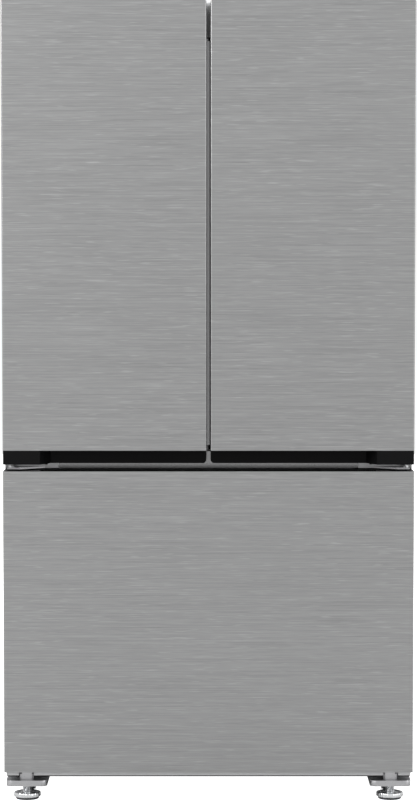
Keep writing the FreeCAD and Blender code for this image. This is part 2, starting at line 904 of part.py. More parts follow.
def mullion_guide():
    """Open-fronted guide under the compartment's ceiling that turns the mullion by its pin."""
    x = (-mullion_hinge_x - guide_reach, -guide_end)
    y = (flange_back, flange_back + guide_length)
    z = (fridge_top - guide_height, fridge_top)
    pocket = block((x[0] + guide_wall, x[1] - guide_wall), (y[0] - OVER, y[1] - guide_wall),
                   (z[0] - OVER, z[1] - guide_roof))
    return cut(block(x, y, z), pocket)


# ---- Fridge compartment
def air_duct():
    """Cold air panel over the whole back wall, with slots."""
    z = (crisper_cover_top, fridge_top - duct_top_gap)
    half = opening - duct_side_gap
    panel = block((-half, half), (duct_face, fridge_back - duct_back_gap), z)
    panel = rounded(panel, duct_round, "z", y=(duct_face,))
    reach = duct_slot_length / 2
    for row in range(shelf_rows + 1):
        level = z[0] + duct_slot_rise + row * shelf_pitch
        for x in (-duct_slot_x, duct_slot_x):
            slot = block((x - reach, x + reach), (duct_face - OVER, duct_face + duct_slot_depth),
                         (level, level + duct_slot_height))
            panel = panel.cut(slot)
    return panel


def ladder_places():
    reach = opening - shelf_side_gap - ladder_width / 2
    return (-reach, 0.0, reach)


def shelf_ladders():
    """Slotted uprights that the shelves hook into."""
    low = rail_top + shelf_first - ladder_below
    high = fridge_top - ladder_top_gap
    count = int((high - low - ladder_slot_rise - ladder_slot_height) // ladder_pitch) + 1
    ladders = []
    for x in ladder_places():
        upright = block((x - ladder_width / 2, x + ladder_width / 2),
                        (duct_face - ladder_depth, duct_face), (low, high))
        for step in range(count):
            level = low + ladder_slot_rise + step * ladder_pitch
            slot = block((x - ladder_slot_width / 2, x + ladder_slot_width / 2),
                         (duct_face - ladder_depth - OVER, duct_face - ladder_web),
                         (level, level + ladder_slot_height))
            upright = upright.cut(slot)
        ladders.append(upright)
    return Part.makeCompound(ladders)


def shelf_spaces():
    """X, Y and top of each glass: four half shelves and the cover over the crispers."""
    rear = duct_face - ladder_depth - shelf_back_gap
    spaces = []
    for row in range(shelf_rows):
        top = rail_top + shelf_first + row * shelf_pitch
        for sign in (-1, 1):
            x = sorted((sign * shelf_gap / 2, sign * (opening - shelf_side_gap)))
            spaces.append((x, (cabinet_front + shelf_front, rear), top))
    half = opening - shelf_side_gap
    spaces.append(((-half, half), (cabinet_front + cover_front, rear), crisper_cover_top))
    return spaces


def glass_shelves():
    """Glass sheets, each let into the top of its frame."""
    sheets = []
    for x, y, top in shelf_spaces():
        edge = shelf_frame / 2
        sheets.append(block((x[0] + edge, x[1] - edge), (y[0] + edge, y[1] - edge),
                            (top - shelf_glass, top)))
    return Part.makeCompound(sheets)


def shelf_frames():
    frames = []
    edge = shelf_frame / 2
    for x, y, top in shelf_spaces():
        frame = block(x, y, (top - shelf_rim, top))
        frame = rounded(frame, shelf_round, "x", y=(y[0],))
        seat = block((x[0] + edge, x[1] - edge), (y[0] + edge, y[1] - edge),
                     (top - shelf_glass, top + OVER))
        hole = block((x[0] + shelf_frame, x[1] - shelf_frame), (y[0] + shelf_frame, y[1] - shelf_frame),
                     (top - shelf_rim - OVER, top))
        frames.append(cut(frame, seat, hole))
    return Part.makeCompound(frames)


def crisper():
    """Left crisper drawer, with a finger lip along its front."""
    x = (-opening + crisper_side_gap, -crisper_half_gap)
    body = tray(x, (crisper_y, crisper_back), (crisper_bottom, crisper_top), crisper_wall)
    lip_y = crisper_y - crisper_lip
    lip_low = crisper_top - crisper_lip_height
    lip = block(x, (lip_y, crisper_y), (lip_low, crisper_top))
    lip = rounded(lip, crisper_lip_round, "x", y=(lip_y,), z=(crisper_top,))
    recess = block((x[0] + crisper_grip_margin, x[1] - crisper_grip_margin),
                   (lip_y + crisper_wall, crisper_y),
                   (lip_low - OVER, crisper_top - crisper_grip_top))
    return join(body, cut(lip, recess))


def light_panel():
    """Lamp lens with the touch controls, flat under the ceiling."""
    y = (cabinet_front + light_setback, cabinet_front + light_setback + light_depth)
    low = fridge_top - light_height
    panel = block((-light_width / 2, light_width / 2), y, (low, fridge_top))
    return rounded(panel, light_round, "x", y=y, z=(low,))


# ---- Freezer drawer
def drawer_skin():
    x = (-side, side)
    z = (drawer_bottom + drawer_cap_show, drawer_top)
    outer = rounded(block(x, (front, panel_front), z), edge_round, "z", y=(front,))
    inside = block((x[0] + skin, x[1] - skin), (front + skin, door_back), (z[0] - skin, z[1] + skin))
    inside = rounded(inside, edge_round - skin, "z", y=(front + skin,))
    return cut(outer, inside)


def drawer_levels():
    """Top of the bottom cap and bottom of the top cap."""
    return drawer_bottom + drawer_cap_low, drawer_top - drawer_cap_high


def drawer_plan(y_back):
    return (-side + skin, side - skin), (front + skin, y_back)


def drawer_plug(shrink):
    """Raised middle of the inner panel, which fills the mouth of the compartment."""
    high = drawer_levels()[1]
    half = opening - plug_side_gap - shrink
    rear = door_back + plug_depth - shrink
    roof = min(rail_bottom - plug_margin, high) - shrink
    plug = block((-half, half), (panel_front, rear), (freezer_bottom + plug_margin + shrink, roof))
    return rounded(plug, plug_round - shrink, "z", y=(rear,))


def drawer_foam():
    low, high = drawer_levels()
    x, y = drawer_plan(panel_front)
    foam = rounded(block(x, y, (low, high)), edge_round - skin, "z", y=(y[0],))
    return join(foam, drawer_plug(panel_wall))


def drawer_liner():
    x = drawer_plan(door_back)[0]
    panel = block(x, (panel_front, door_back), drawer_levels())
    return cut(join(panel, drawer_plug(0.0)), drawer_plug(panel_wall))


def drawer_top_cap():
    """Black cap with a finger groove behind the top edge of the skin."""
    low = drawer_levels()[1]
    x, y = drawer_plan(door_back)
    cap = rounded(block(x, y, (low, drawer_top - cap_inset)), edge_round - skin, "z", y=(y[0],))
    reach = side - grip_block_front
    groove_low = drawer_top - bottom_cap_face
    groove = block((-reach, reach), (front + skin + grip_lip, front + grip_depth),
                   (groove_low, drawer_top + OVER))
    return cut(cap, rounded(groove, grip_round, "x", y=(front + grip_depth,), z=(groove_low,)))


def drawer_bottom_cap():
    """Light cap under the drawer, notched over the nuts of the levelling feet."""
    skin_low = drawer_bottom + drawer_cap_show
    x, y = drawer_plan(door_back)
    inside = rounded(block(x, y, (skin_low, drawer_levels()[0])), edge_round - skin, "z", y=(y[0],))
    half = side - under_side_inset
    face = front + under_front_inset
    below = block((-half, half), (face, door_back), (drawer_bottom, skin_low))
    cap = join(inside, chamfered(below, under_chamfer, "x", y=(face,), z=(drawer_bottom,)))
    reach = nut_size / 2 + nut_clearance
    for middle in (-foot_x, foot_x):
        notch = block((middle - reach, middle + reach), (front - OVER, door_back + OVER),
                      (drawer_bottom - OVER, nut_top + nut_clearance))
        cap = cap.cut(notch)
    return cap


def drawer_gasket():
    x = (-side + hinge_inset, side - hinge_inset)
    z = (freezer_bottom - drawer_gasket_below, rail_bottom + drawer_gasket_above + gasket_width)
    return ring(x, (door_back, gasket_end), z, gasket_width)


def fixed_slide():
    """Left channel on the compartment's side wall."""
    x = (-opening, -opening + slide_depth)
    body = block(x, (slide_front, slide_back), (slide_low, slide_high))
    channel = block((x[0] + slide_wall, x[1] + OVER), (slide_front - OVER, slide_back - slide_wall),
                    (slide_low + slide_wall, slide_high - slide_wall))
    return cut(body, channel)


def moving_slide():
    """Left runner in the channel, with a plate on the drawer's inner panel."""
    gap = slide_wall + slide_gap
    x = (-opening + gap, -opening + slide_depth + slide_proud)
    rear = slide_back - slide_wall - slide_end_gap
    bar = block(x, (door_back, rear), (slide_low + gap, slide_high - gap))
    hanger = block(x, (door_back, door_back + hanger_thickness),
                   (slide_low - hanger_below, slide_high + hanger_above))
    return join(bar, hanger)


def drawer_basket():
    """Deep bin whose rims hang on the runners."""
    y = (basket_y, basket_back)
    body = tray((-basket_half, basket_half), y, (basket_bottom, basket_top), basket_wall)
    reach = opening - slide_depth - slide_proud + rim_overlap
    rim_top = slide_high + basket_wall
    rims = []
    for sign in (-1, 1):
        span = sorted((sign * (basket_half - OVER), sign * reach))
        rims.append(block(span, y, (slide_high, rim_top)))
        web = sorted((sign * (basket_half - basket_wall), sign * basket_half))
        rims.append(block(web, y, (basket_top - OVER, rim_top)))
    return join(body, *rims)


def freezer_tray():
    """Shallow sliding tray above the basket, with side wings over the basket's rims."""
    y = (tray_y, tray_y + tray_length)
    body = tray((-tray_half, tray_half), y, (tray_bottom, tray_bottom + tray_height), tray_wall)
    wings = [block(sorted((sign * tray_half, sign * (tray_half + tray_wing))), y,
                   (tray_bottom, tray_bottom + tray_wall)) for sign in (-1, 1)]
    return join(body, *wings)


# ---- Cold air and fans
def axial_fan(radius):
    """Fan about +Y with its hub's front face on the XZ plane."""
    fan = rod("y", fan_hub_radius, (0.0, 0.0), (0.0, fan_width))
    reach = fan_width / 2 - blade_margin
    for index in range(blade_count):
        blade = block((-blade_half, blade_half), (-reach, reach), (fan_hub_radius - blade_root, radius))
        blade.rotate(Vector(0, 0, 0), Vector(0, 0, 1), blade_angle)
        blade.translate(Vector(0, fan_width / 2, 0))
        blade.rotate(Vector(0, 0, 0), Vector(0, 1, 0), index * FULL_TURN / blade_count)
        fan = fan.fuse(blade)
    bore = rod("y", shaft_radius + running_clearance, (0.0, 0.0), (-OVER, fan_width + OVER))
    return fan.removeSplitter().cut(bore)


def fan_mount(radius, plate_y):
    """Motor, shaft and arms behind a fan at the XZ plane; posts reach to plate_y."""
    motor_y = fan_width + motor_gap
    motor = rod("y", fan_hub_radius + motor_rim, (0.0, 0.0), (motor_y, motor_y + motor_length))
    shaft = rod("y", shaft_radius, (0.0, 0.0), (shaft_radius, motor_y + OVER))
    mount = motor.fuse(shaft)
    tip = radius + arm_reach
    rear = motor_y + arm_back + arm_thickness
    for index in range(mount_arms):
        arm = block((-arm_half, arm_half), (motor_y + arm_back, rear), (fan_hub_radius, tip))
        post = block((-arm_half, arm_half), (plate_y, rear), (tip - arm_thickness, tip))
        spoke = arm.fuse(post)
        angle = arm_start_angle + index * FULL_TURN / mount_arms
        spoke.rotate(Vector(0, 0, 0), Vector(0, 1, 0), angle)
        mount = mount.fuse(spoke)
    return mount


def freezer_fan_place():
    return Vector(0, freezer_duct_face + duct_wall + freezer_fan_setback, freezer_fan_z)


def freezer_duct_cover():
    """Cover over the evaporator, with the fan's opening and motor mount."""
    half = opening - freezer_duct_side_gap
    face = freezer_duct_face
    z = (step_z + freezer_duct_gap, rail_bottom - freezer_duct_gap)
    shell = block((-half, half), (face, fridge_back - OVER), z)
    shell = rounded(shell, freezer_duct_round, "z", y=(face,))
    inside = block((-half + duct_wall, half - duct_wall), (face + duct_wall, fridge_back),
                   (z[0] + duct_wall, z[1] - duct_wall))
    shell = cut(shell, inside)
    place = freezer_fan_place()
    through = (face - OVER, face + duct_wall + OVER)
    shell = shell.cut(rod("y", freezer_fan_radius + fan_tip_gap, (place.x, place.z), through))
    reach = return_slot_length / 2
    low = z[0] + return_slot_rise
    for index in range(return_slot_count):
        x = (index - (return_slot_count - 1) / 2) * return_slot_pitch
        shell = shell.cut(block((x - reach, x + reach), through, (low, low + return_slot_height)))
    mount = fan_mount(freezer_fan_radius, -freezer_fan_setback - OVER).translated(place)
    return join(shell, mount)


def evaporator():
    """Two rows of tube with fins, hung behind the duct cover."""
    y = (fridge_back - evaporator_gap - evaporator_depth, fridge_back - evaporator_gap)
    half = evaporator_width / 2
    tubes = [rod("x", tube_radius, (tube_y, evaporator_middle + step * tube_pitch), (-half, half))
             for tube_y in (y[0] + fin_edge, y[1] - fin_edge) for step in range(-tube_steps, tube_steps + 1)]
    span = evaporator_width - 2 * fin_edge
    fins = []
    for index in range(fin_count):
        x = (index / (fin_count - 1) - 1 / 2) * span
        fins.append(block((x - fin_half, x + fin_half), y, (evaporator_low, evaporator_top)))
    return tubes[0].multiFuse(tubes[1:] + fins)


# ---- Machine compartment
def compressor():
    """Sealed pot on its base plate, with terminal box and pipe stub."""
    x = compressor_x
    y = machine_middle
    low = machine_floor
    top = low + compressor_height
    pot = rod("z", compressor_radius, (x, y), (low + compressor_lift, top))
    pot = pot.makeFillet(compressor_round, [edge for edge in pot.Edges if edge.BoundBox.ZMin > top - OVER])
    reach = compressor_radius + base_plate_margin
    plate_low = low + base_plate_low
    plate = block((x - reach, x + reach), (y - base_plate_half, y + base_plate_half),
                  (plate_low, plate_low + base_plate_thickness))
    plate = rounded(plate, rubber_edge, "z", x=(x - reach, x + reach))
    parts = [plate]
    out_x = reach - rubber_edge
    out_y = base_plate_half - rubber_edge
    for place in [(x + sign_x * out_x, y + sign_y * out_y) for sign_x in (-1, 1) for sign_y in (-1, 1)]:
        parts.append(rod("z", rubber_radius, place, (low, plate_low + OVER)))
    box_x = x + compressor_radius
    box = block((box_x - terminal_overlap, box_x + terminal_depth), (y - terminal_half, y + terminal_half),
                (low + terminal_span[0], low + terminal_span[1]))
    stub = rod("y", pipe_radius, (x - pipe_offset, low + pipe_height),
               (y, y + compressor_radius + pipe_reach))
    return join(pot, *parts, box, stub)


def condenser_fan_place():
    return Vector(condenser_x - condenser_depth / 2 - fan_width - fan_air_gap, machine_middle,
                  machine_floor + condenser_lift + condenser_size / 2)


def turned_to_x(shape, place):
    """A shape made about +Y, turned to lie about +X and put at a place."""
    shape.rotate(Vector(0, 0, 0), Vector(0, 0, 1), -QUARTER_TURN)
    return shape.translated(place)


def condenser():
    """Finned block with its fan plate and motor mount, standing on the base pan."""
    half = condenser_size / 2
    y = (machine_middle - half, machine_middle + half)
    low = machine_floor + condenser_lift
    left = condenser_x - condenser_depth / 2
    right = condenser_x + condenser_depth / 2
    core = block((left, right), y, (low, low + condenser_size))
    pitch = (condenser_size - 2 * groove_margin - groove_height) / (groove_count - 1)
    for index in range(groove_count):
        level = low + groove_margin + index * pitch
        for side_x in ((left - OVER, condenser_x - core_web), (condenser_x + core_web, right + OVER)):
            groove = block(side_x, (y[0] + groove_end, y[1] - groove_end), (level, level + groove_height))
            core = core.cut(groove)
    place = condenser_fan_place()
    plate_right = place.x - fan_plate_gap
    plate_x = (plate_right - fan_plate_thickness, plate_right)
    plate = block(plate_x, y, (low, low + condenser_size))
    hole = rod("x", fan_radius + fan_tip_gap, (place.y, place.z), (plate_x[0] - OVER, plate_x[1] + OVER))
    feet = block((plate_x[0], right), y, (machine_floor, low + OVER))
    mount = turned_to_x(fan_mount(fan_radius, -fan_plate_gap - OVER), place)
    return join(core, plate.cut(hole), feet, mount)


def drip_tray():
    """Evaporation tray on top of the compressor."""
    low = machine_floor + compressor_height
    x = compressor_x
    y = (machine_front + drip_tray_front_gap, back - drip_tray_back_gap)
    return tray((x - drip_tray_half, x + drip_tray_half), y, (low, low + drip_tray_height), drip_tray_wall)


def machine_cover():
    """Rear cover of the machine compartment, with vent slots and the inlet's opening."""
    half = side - sheet - machine_cover_side_gap
    rear = back - machine_cover_gap
    y = (rear - machine_cover_thickness, rear)
    z = (base_height + machine_cover_lift, machine_top - machine_cover_gap)
    panel = block((-half, half), y, z)
    for sign in (-1, 1):
        for index in range(vent_count):
            x = sign * (vent_start + index * vent_pitch)
            vent = block((x - vent_half, x + vent_half), (y[0] - OVER, y[1] + OVER),
                         (z[0] + vent_above, z[1] - vent_below))
            panel = panel.cut(vent)
    return cut(panel, block(*inlet_space(inlet_clearance)))


def inlet_space(grow):
    """Room for the power inlet, low in the middle of the back."""
    low = base_height + inlet_lift
    rear = back - inlet_recess
    half = inlet_half + grow
    return (-half, half), (rear - inlet_depth, rear), (low - grow, low + inlet_height + grow)


def power_inlet():
    """Socket for a plug-in supply lead, with three blades."""
    x, y, z = inlet_space(0.0)
    body = rounded(block(x, y, z), inlet_round, "y", x=x, z=z)
    floor_y = y[1] - inlet_socket
    wall = inlet_wall
    hollow = block((x[0] + wall, x[1] - wall), (floor_y, y[1] + OVER), (z[0] + wall, z[1] - wall))
    inlet = cut(body, hollow)
    middle = (z[0] + z[1]) / 2
    for offset, rise in blade_places:
        level = middle + rise
        contact = block((offset - contact_half, offset + contact_half),
                        (floor_y - OVER, y[1] - contact_recess),
                        (level - contact_rise, level + contact_rise))
        inlet = inlet.fuse(contact)
    flange_rear = back - machine_cover_gap - machine_cover_thickness
    flange = block((x[0] - inlet_flange, x[1] + inlet_flange),
                   (flange_rear - inlet_flange_depth, flange_rear),
                   (z[0] - inlet_flange, z[1] + inlet_flange))
    return join(inlet, cut(flange, block(x, y, z)))


# ---- Feet and rollers
def foot_bracket():
    """Left bracket: plate and square nut for the levelling foot, front roller's ears behind."""
    half = bracket_width / 2
    x = (-foot_x - half, -foot_x + half)
    y = (front + bracket_setback, front + bracket_setback + bracket_length)
    z = (base_height - bracket_height, base_height)
    plate = rounded(block(x, y, z), bracket_round, "z", y=(y[0],))
    reach = nut_size / 2
    nut_x = (-foot_x - reach, -foot_x + reach)
    nut = block(nut_x, (foot_y - reach, foot_y + reach), (base_height - OVER, nut_top))
    nut = chamfered(nut, nut_chamfer, "z", x=nut_x)
    ears = roller_ears(-foot_x, front + front_roller_setback, roller_radius + roller_lift, z[0] + OVER)
    thread = rod("z", stem_radius + thread_gap, (-foot_x, foot_y), (z[0] - OVER, nut_top + OVER))
    return cut(join(plate, nut, ears), thread)


def foot_sole():
    """Sole that rests on the floor without turning, under the disc of the foot."""
    sole = rod("z", sole_radius, (-foot_x, foot_y), (0.0, sole_height))
    socket = rod("z", spigot_radius + running_clearance, (-foot_x, foot_y),
                 (sole_height - spigot_length, sole_height + OVER))
    return cut(sole, socket)


def foot_screw():
    """Chromed disc and threaded stem in one piece, with a spigot in the sole."""
    low = sole_height + sole_gap
    disc = rod("z", foot_radius, (-foot_x, foot_y), (low, foot_height))
    disc = disc.makeFillet(foot_round, rolled_edges(disc))
    stem = rod("z", stem_radius, (-foot_x, foot_y), (foot_height - OVER, nut_top - nut_cover))
    spigot = rod("z", spigot_radius, (-foot_x, foot_y),
                 (sole_height - spigot_length + sole_gap, low + OVER))
    return join(disc, stem, spigot)


def roller(x, y, radius, centre_z):
    half = roller_width / 2
    body = rod("x", radius, (y, centre_z), (x - half, x + half))
    body = body.makeFillet(roller_round, rolled_edges(body))
    bore = rod("x", axle_radius + running_clearance, (y, centre_z), (x - half - OVER, x + half + OVER))
    return body.cut(bore)


def front_rollers():
    y = front + front_roller_setback
    return both(roller(-foot_x, y, roller_radius, roller_radius + roller_lift))


def rear_rollers():
    y = back - rear_roller_setback
    return both(roller(-rear_roller_x, y, rear_roller_radius, rear_roller_radius))


nodes = {
    "outer_shell": outer_shell(),
    "back_panel": back_panel(),
    "base_pan": base_pan(),
    "insulation_foam": insulation_foam(),
    "fridge_liner": fridge_liner(),
    "freezer_liner": freezer_liner(),
    "mid_rail": mid_rail(),
    "hinge_cover": hinge_cover(),
    "top_hinges": both(top_hinge()),
    "middle_hinges": both(middle_hinge()),
    "hinge_screws": hinge_screws(),
    "mullion_guide": mullion_guide(),
    "air_duct": air_duct(),
    "shelf_ladders": shelf_ladders(),
    "glass_shelves": glass_shelves(),
    "shelf_frames": shelf_frames(),
    "light_panel": light_panel(),
    "freezer_duct_cover": freezer_duct_cover(),
    "evaporator": evaporator(),
    "compressor": compressor(),
    "condenser": condenser(),
    "drip_tray": drip_tray(),
    "machine_cover": machine_cover(),
    "power_inlet": power_inlet(),
    "fixed_slides": both(fixed_slide()),
    "foot_brackets": both(foot_bracket()),
    "left_door_skin": door_skin(),
    "left_door_foam": door_foam(),
    "left_door_liner": join(door_liner(), *mullion_lugs()),
    "left_top_cap": top_cap(),
    "left_bottom_cap": bottom_cap(),
    "left_door_gasket": door_gasket(),
    "left_door_bins": door_bins(),
    "right_door_skin": mirrored(door_skin()),
    "right_door_foam": mirrored(door_foam()),
    "right_door_liner": mirrored(door_liner()),
    "right_top_cap": mirrored(top_cap()),
    "right_bottom_cap": mirrored(bottom_cap()),
    "right_door_gasket": mirrored(door_gasket()),
    "right_door_bins": mirrored(door_bins()),
    "mullion_bar": mullion_bar(),
    "drawer_skin": drawer_skin(),
    "drawer_foam": drawer_foam(),
    "drawer_liner": drawer_liner(),
    "drawer_top_cap": drawer_top_cap(),
    "drawer_bottom_cap": drawer_bottom_cap(),
    "drawer_gasket": drawer_gasket(),
    "drawer_basket": drawer_basket(),
    "moving_slides": both(moving_slide()),
    "freezer_tray": freezer_tray(),
    "left_crisper": crisper(),
    "right_crisper": mirrored(crisper()),
    "freezer_fan": axial_fan(freezer_fan_radius).translated(freezer_fan_place()),
    "condenser_fan": turned_to_x(axial_fan(fan_radius), condenser_fan_place()),
    "left_foot_sole": foot_sole(),
    "right_foot_sole": mirrored(foot_sole()),
    "left_foot_screw": foot_screw(),
    "right_foot_screw": mirrored(foot_screw()),
    "front_rollers": front_rollers(),
    "rear_rollers": rear_rollers(),
}

os.makedirs("parts", exist_ok=True)
for name, shape in nodes.items():
    shape.exportStep("parts/" + name + ".step")
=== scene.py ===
# %% [markdown]
# # A french door refrigerator, dressed for its picture
# The engineering model already exists as a imported frame: every sheet, cap, hinge and drawer is in its
# place, in metres, and belongs to a moving body. This lesson gives each of them its finish, and builds
# the finer pieces that engineering leaves plain, such as bellows seals and screw threads.

# %% Load the frame
import math

import bmesh
import bpy
from mathutils import Matrix, Vector


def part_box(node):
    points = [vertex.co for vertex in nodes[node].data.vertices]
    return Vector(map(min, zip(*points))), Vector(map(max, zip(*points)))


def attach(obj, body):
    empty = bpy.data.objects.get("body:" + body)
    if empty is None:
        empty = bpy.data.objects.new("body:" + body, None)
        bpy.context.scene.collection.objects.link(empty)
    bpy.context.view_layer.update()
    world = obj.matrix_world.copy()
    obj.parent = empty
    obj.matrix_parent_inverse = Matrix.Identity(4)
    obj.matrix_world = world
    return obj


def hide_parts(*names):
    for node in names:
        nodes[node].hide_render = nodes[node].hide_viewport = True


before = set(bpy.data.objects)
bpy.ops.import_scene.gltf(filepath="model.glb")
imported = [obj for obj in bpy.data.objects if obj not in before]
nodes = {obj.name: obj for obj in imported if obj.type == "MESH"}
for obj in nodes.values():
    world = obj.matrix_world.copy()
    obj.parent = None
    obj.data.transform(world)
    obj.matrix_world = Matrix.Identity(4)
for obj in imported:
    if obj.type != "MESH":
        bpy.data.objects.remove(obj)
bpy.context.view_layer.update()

MM = 0.001
low_corner, high_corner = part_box("outer_shell")
print("cabinet from", low_corner, "to", high_corner)

# %% [markdown]
# ## Camera
# Catalogue pictures of tall appliances are taken from far away with a long lens, so that the front
# stays almost a rectangle. The lens is a little above the middle and looks slightly down, which makes
# the lower half a touch narrower than the upper one.

# %% Camera
EYE_DISTANCE = 5.9
EYE_HEIGHT = 1.267
AIM_HEIGHT = 0.894
LENS = 120.85
SENSOR_WIDTH = 36.0


def make_camera():
    front_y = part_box("drawer_skin")[0][1]
    data = bpy.data.cameras.new("camera")
    data.lens = LENS
    data.sensor_fit = "AUTO"
    data.sensor_width = SENSOR_WIDTH
    camera = bpy.data.objects.new("camera", data)
    camera.location = (0.0, front_y - EYE_DISTANCE, EYE_HEIGHT)
    target = Vector((0.0, front_y, AIM_HEIGHT))
    camera.rotation_euler = (target - camera.location).to_track_quat("-Z", "Y").to_euler()
    bpy.context.scene.collection.objects.link(camera)
    bpy.context.scene.camera = camera
    return camera


camera = make_camera()
print("camera at", tuple(round(v, 3) for v in camera.location))

# %% [markdown]
# ## Light and floor
# Brushed steel shows its surroundings more than its own colour, so the surroundings are kept plain: a
# pale room that is a little brighter overhead, and three wide soft lamps, the strongest on the left. A
# large lamp could be one disc, but rectangles give steel the straight gentle gradients of a light tent.

# %% Light and floor
ROOM_LOW = 0.76
ROOM_HIGH = 1.02
LOW_DIRECTION = -0.2
HIGH_DIRECTION = 0.6
FLOOR_RADIUS = 9.0
FLOOR_CORNERS = 64
# Name, place, the point it faces, width and height, watts.
LAMPS = (
    ("key", (-3.6, -3.2, 3.4), (0.0, 0.0, 1.2), (2.4, 2.4), 165.0),
    ("fill", (3.8, -2.6, 2.2), (0.0, 0.0, 1.0), (2.0, 2.6), 40.0),
    ("back", (0.0, 3.4, 3.0), (0.0, 0.0, 0.9), (3.0, 2.0), 70.0),
)


def area_lamp(name, place, aim, size, power):
    data = bpy.data.lights.new(name, "AREA")
    data.shape = "RECTANGLE"
    data.size, data.size_y = size
    data.energy = power
    lamp = bpy.data.objects.new(name, data)
    lamp.location = place
    lamp.rotation_euler = (Vector(aim) - Vector(place)).to_track_quat("-Z", "Y").to_euler()
    bpy.context.scene.collection.objects.link(lamp)


def pale_world():
    """White where the lens looks straight at it, and a little dimmer as a source of light."""
    world = bpy.data.worlds.new("studio")
    world.use_nodes = True
    tree = world.node_tree
    background = tree.nodes["Background"]
    background.inputs["Color"].default_value = (1.0, 1.0, 1.0, 1.0)
    direction = tree.nodes.new("ShaderNodeTexCoord")
    upward = tree.nodes.new("ShaderNodeSeparateXYZ")
    tree.links.new(direction.outputs["Generated"], upward.inputs[0])
    room = tree.nodes.new("ShaderNodeMapRange")
    for label, value in (("From Min", LOW_DIRECTION), ("From Max", HIGH_DIRECTION),
                         ("To Min", ROOM_LOW), ("To Max", ROOM_HIGH)):
        room.inputs[label].default_value = value
    tree.links.new(upward.outputs["Z"], room.inputs["Value"])
    seen = tree.nodes.new("ShaderNodeLightPath")
    strength = tree.nodes.new("ShaderNodeMapRange")
    strength.inputs["To Max"].default_value = 1.0
    tree.links.new(room.outputs["Result"], strength.inputs["To Min"])
    tree.links.new(seen.outputs["Is Camera Ray"], strength.inputs["Value"])
    tree.links.new(strength.outputs["Result"], background.inputs["Strength"])
    bpy.context.scene.world = world
    bpy.context.scene.view_settings.view_transform = "Standard"


def make_room():
    pale_world()
    for name, place, aim, size, power in LAMPS:
        area_lamp(name, place, aim, size, power)
    bm = bmesh.new()
    bmesh.ops.create_circle(bm, cap_ends=True, segments=FLOOR_CORNERS, radius=FLOOR_RADIUS)
    mesh = bpy.data.meshes.new("floor")
    bm.to_mesh(mesh)
    bm.free()
    ground = bpy.data.objects.new("floor", mesh)
    bpy.context.scene.collection.objects.link(ground)
    return ground


floor = make_room()
print("floor and", len(bpy.data.lights), "lamps")

# %% [markdown]
# ## Finishes that several materials share
# A node group is a finish written once, such as brushed lines or moulded grain. Each material
# places the group with its own values and keeps its own shader. The small helpers below only save
# typing when nodes are added and linked.

# %% Node helpers
# Nearly all of a noise texture's values lie between these two.
NOISE_LOW = 0.3
NOISE_HIGH = 0.7


def add(tree, kind, at=(0, 0), **settings):
    """A node with its properties and socket values set by name; spaces are written as underscores."""
    made = tree.nodes.new(kind)
    made.location = at
    for name, value in settings.items():
        if hasattr(made, name):
            setattr(made, name, value)
        else:
            made.inputs[name.replace("_", " ")].default_value = value
    return made


def new_group(name, inputs, outputs):
    """An empty shader group; inputs are (name, kind, default) and outputs (name, kind)."""
    tree = bpy.data.node_groups.new(name, "ShaderNodeTree")
    for label, kind, default in inputs:
        socket = tree.interface.new_socket(name=label, in_out="INPUT", socket_type="NodeSocket" + kind)
        socket.default_value = default
    for label, kind in outputs:
        tree.interface.new_socket(name=label, in_out="OUTPUT", socket_type="NodeSocket" + kind)
    return tree, add(tree, "NodeGroupInput", (-900, 0)), add(tree, "NodeGroupOutput", (900, 0))


def noise(tree, vector, scale, detail, at):
    """A noise texture read at the given coordinates; a socket or a number sets its scale."""
    made = add(tree, "ShaderNodeTexNoise", at, Detail=detail)
    tree.links.new(vector, made.inputs["Vector"])
    if isinstance(scale, (int, float)):
        made.inputs["Scale"].default_value = scale
    else:
        tree.links.new(scale, made.inputs["Scale"])
    return made.outputs["Fac"]


def arithmetic(tree, operation, first, second, at):
    made = add(tree, "ShaderNodeMath", at, operation=operation)
    for socket, value in zip(made.inputs, (first, second)):
        if isinstance(value, (int, float)):
            socket.default_value = value
        else:
            tree.links.new(value, socket)
    return made.outputs[0]


def remap(tree, value, low, high, to_low, to_high, at):
    made = add(tree, "ShaderNodeMapRange", at, From_Min=low, From_Max=high)
    tree.links.new(value, made.inputs["Value"])
    for name, number in (("To Min", to_low), ("To Max", to_high)):
        if isinstance(number, (int, float)):
            made.inputs[name].default_value = number
        else:
            tree.links.new(number, made.inputs[name])
    return made.outputs["Result"]


def bump(tree, height, strength, distance, at):
    made = add(tree, "ShaderNodeBump", at, Distance=distance)
    tree.links.new(height, made.inputs["Height"])
    if isinstance(strength, (int, float)):
        made.inputs["Strength"].default_value = strength
    else:
        tree.links.new(strength, made.inputs["Strength"])
    return made.outputs["Normal"]


print("node helpers ready")

# %% [markdown]
# ## Brushed lines
# Brushed steel is rubbed in one direction with an abrasive belt. The belt leaves fine lines that are
# hundreds of times longer than they are wide, with a few short bright dashes where it bit deeper. An
# image could carry them, but noise stretched along one axis never repeats and works at any distance.

# %% Brushed lines group
# How closely the lines follow each other along the brushing and across it.
LONG_LINES = (5.0, 420.0)
FINE_LINES = (22.0, 1100.0)
SHORT_DASHES = (26.0, 520.0)
CLOUD_SCALE = 1.6
CLOUD_SHADE = 0.012
DASH_FROM = 0.68
DASH_TO = 0.8
LONG_SHARE = 0.6
LINE_GLOSS = 0.04
BRUSH_DEPTH = 0.4 * MM


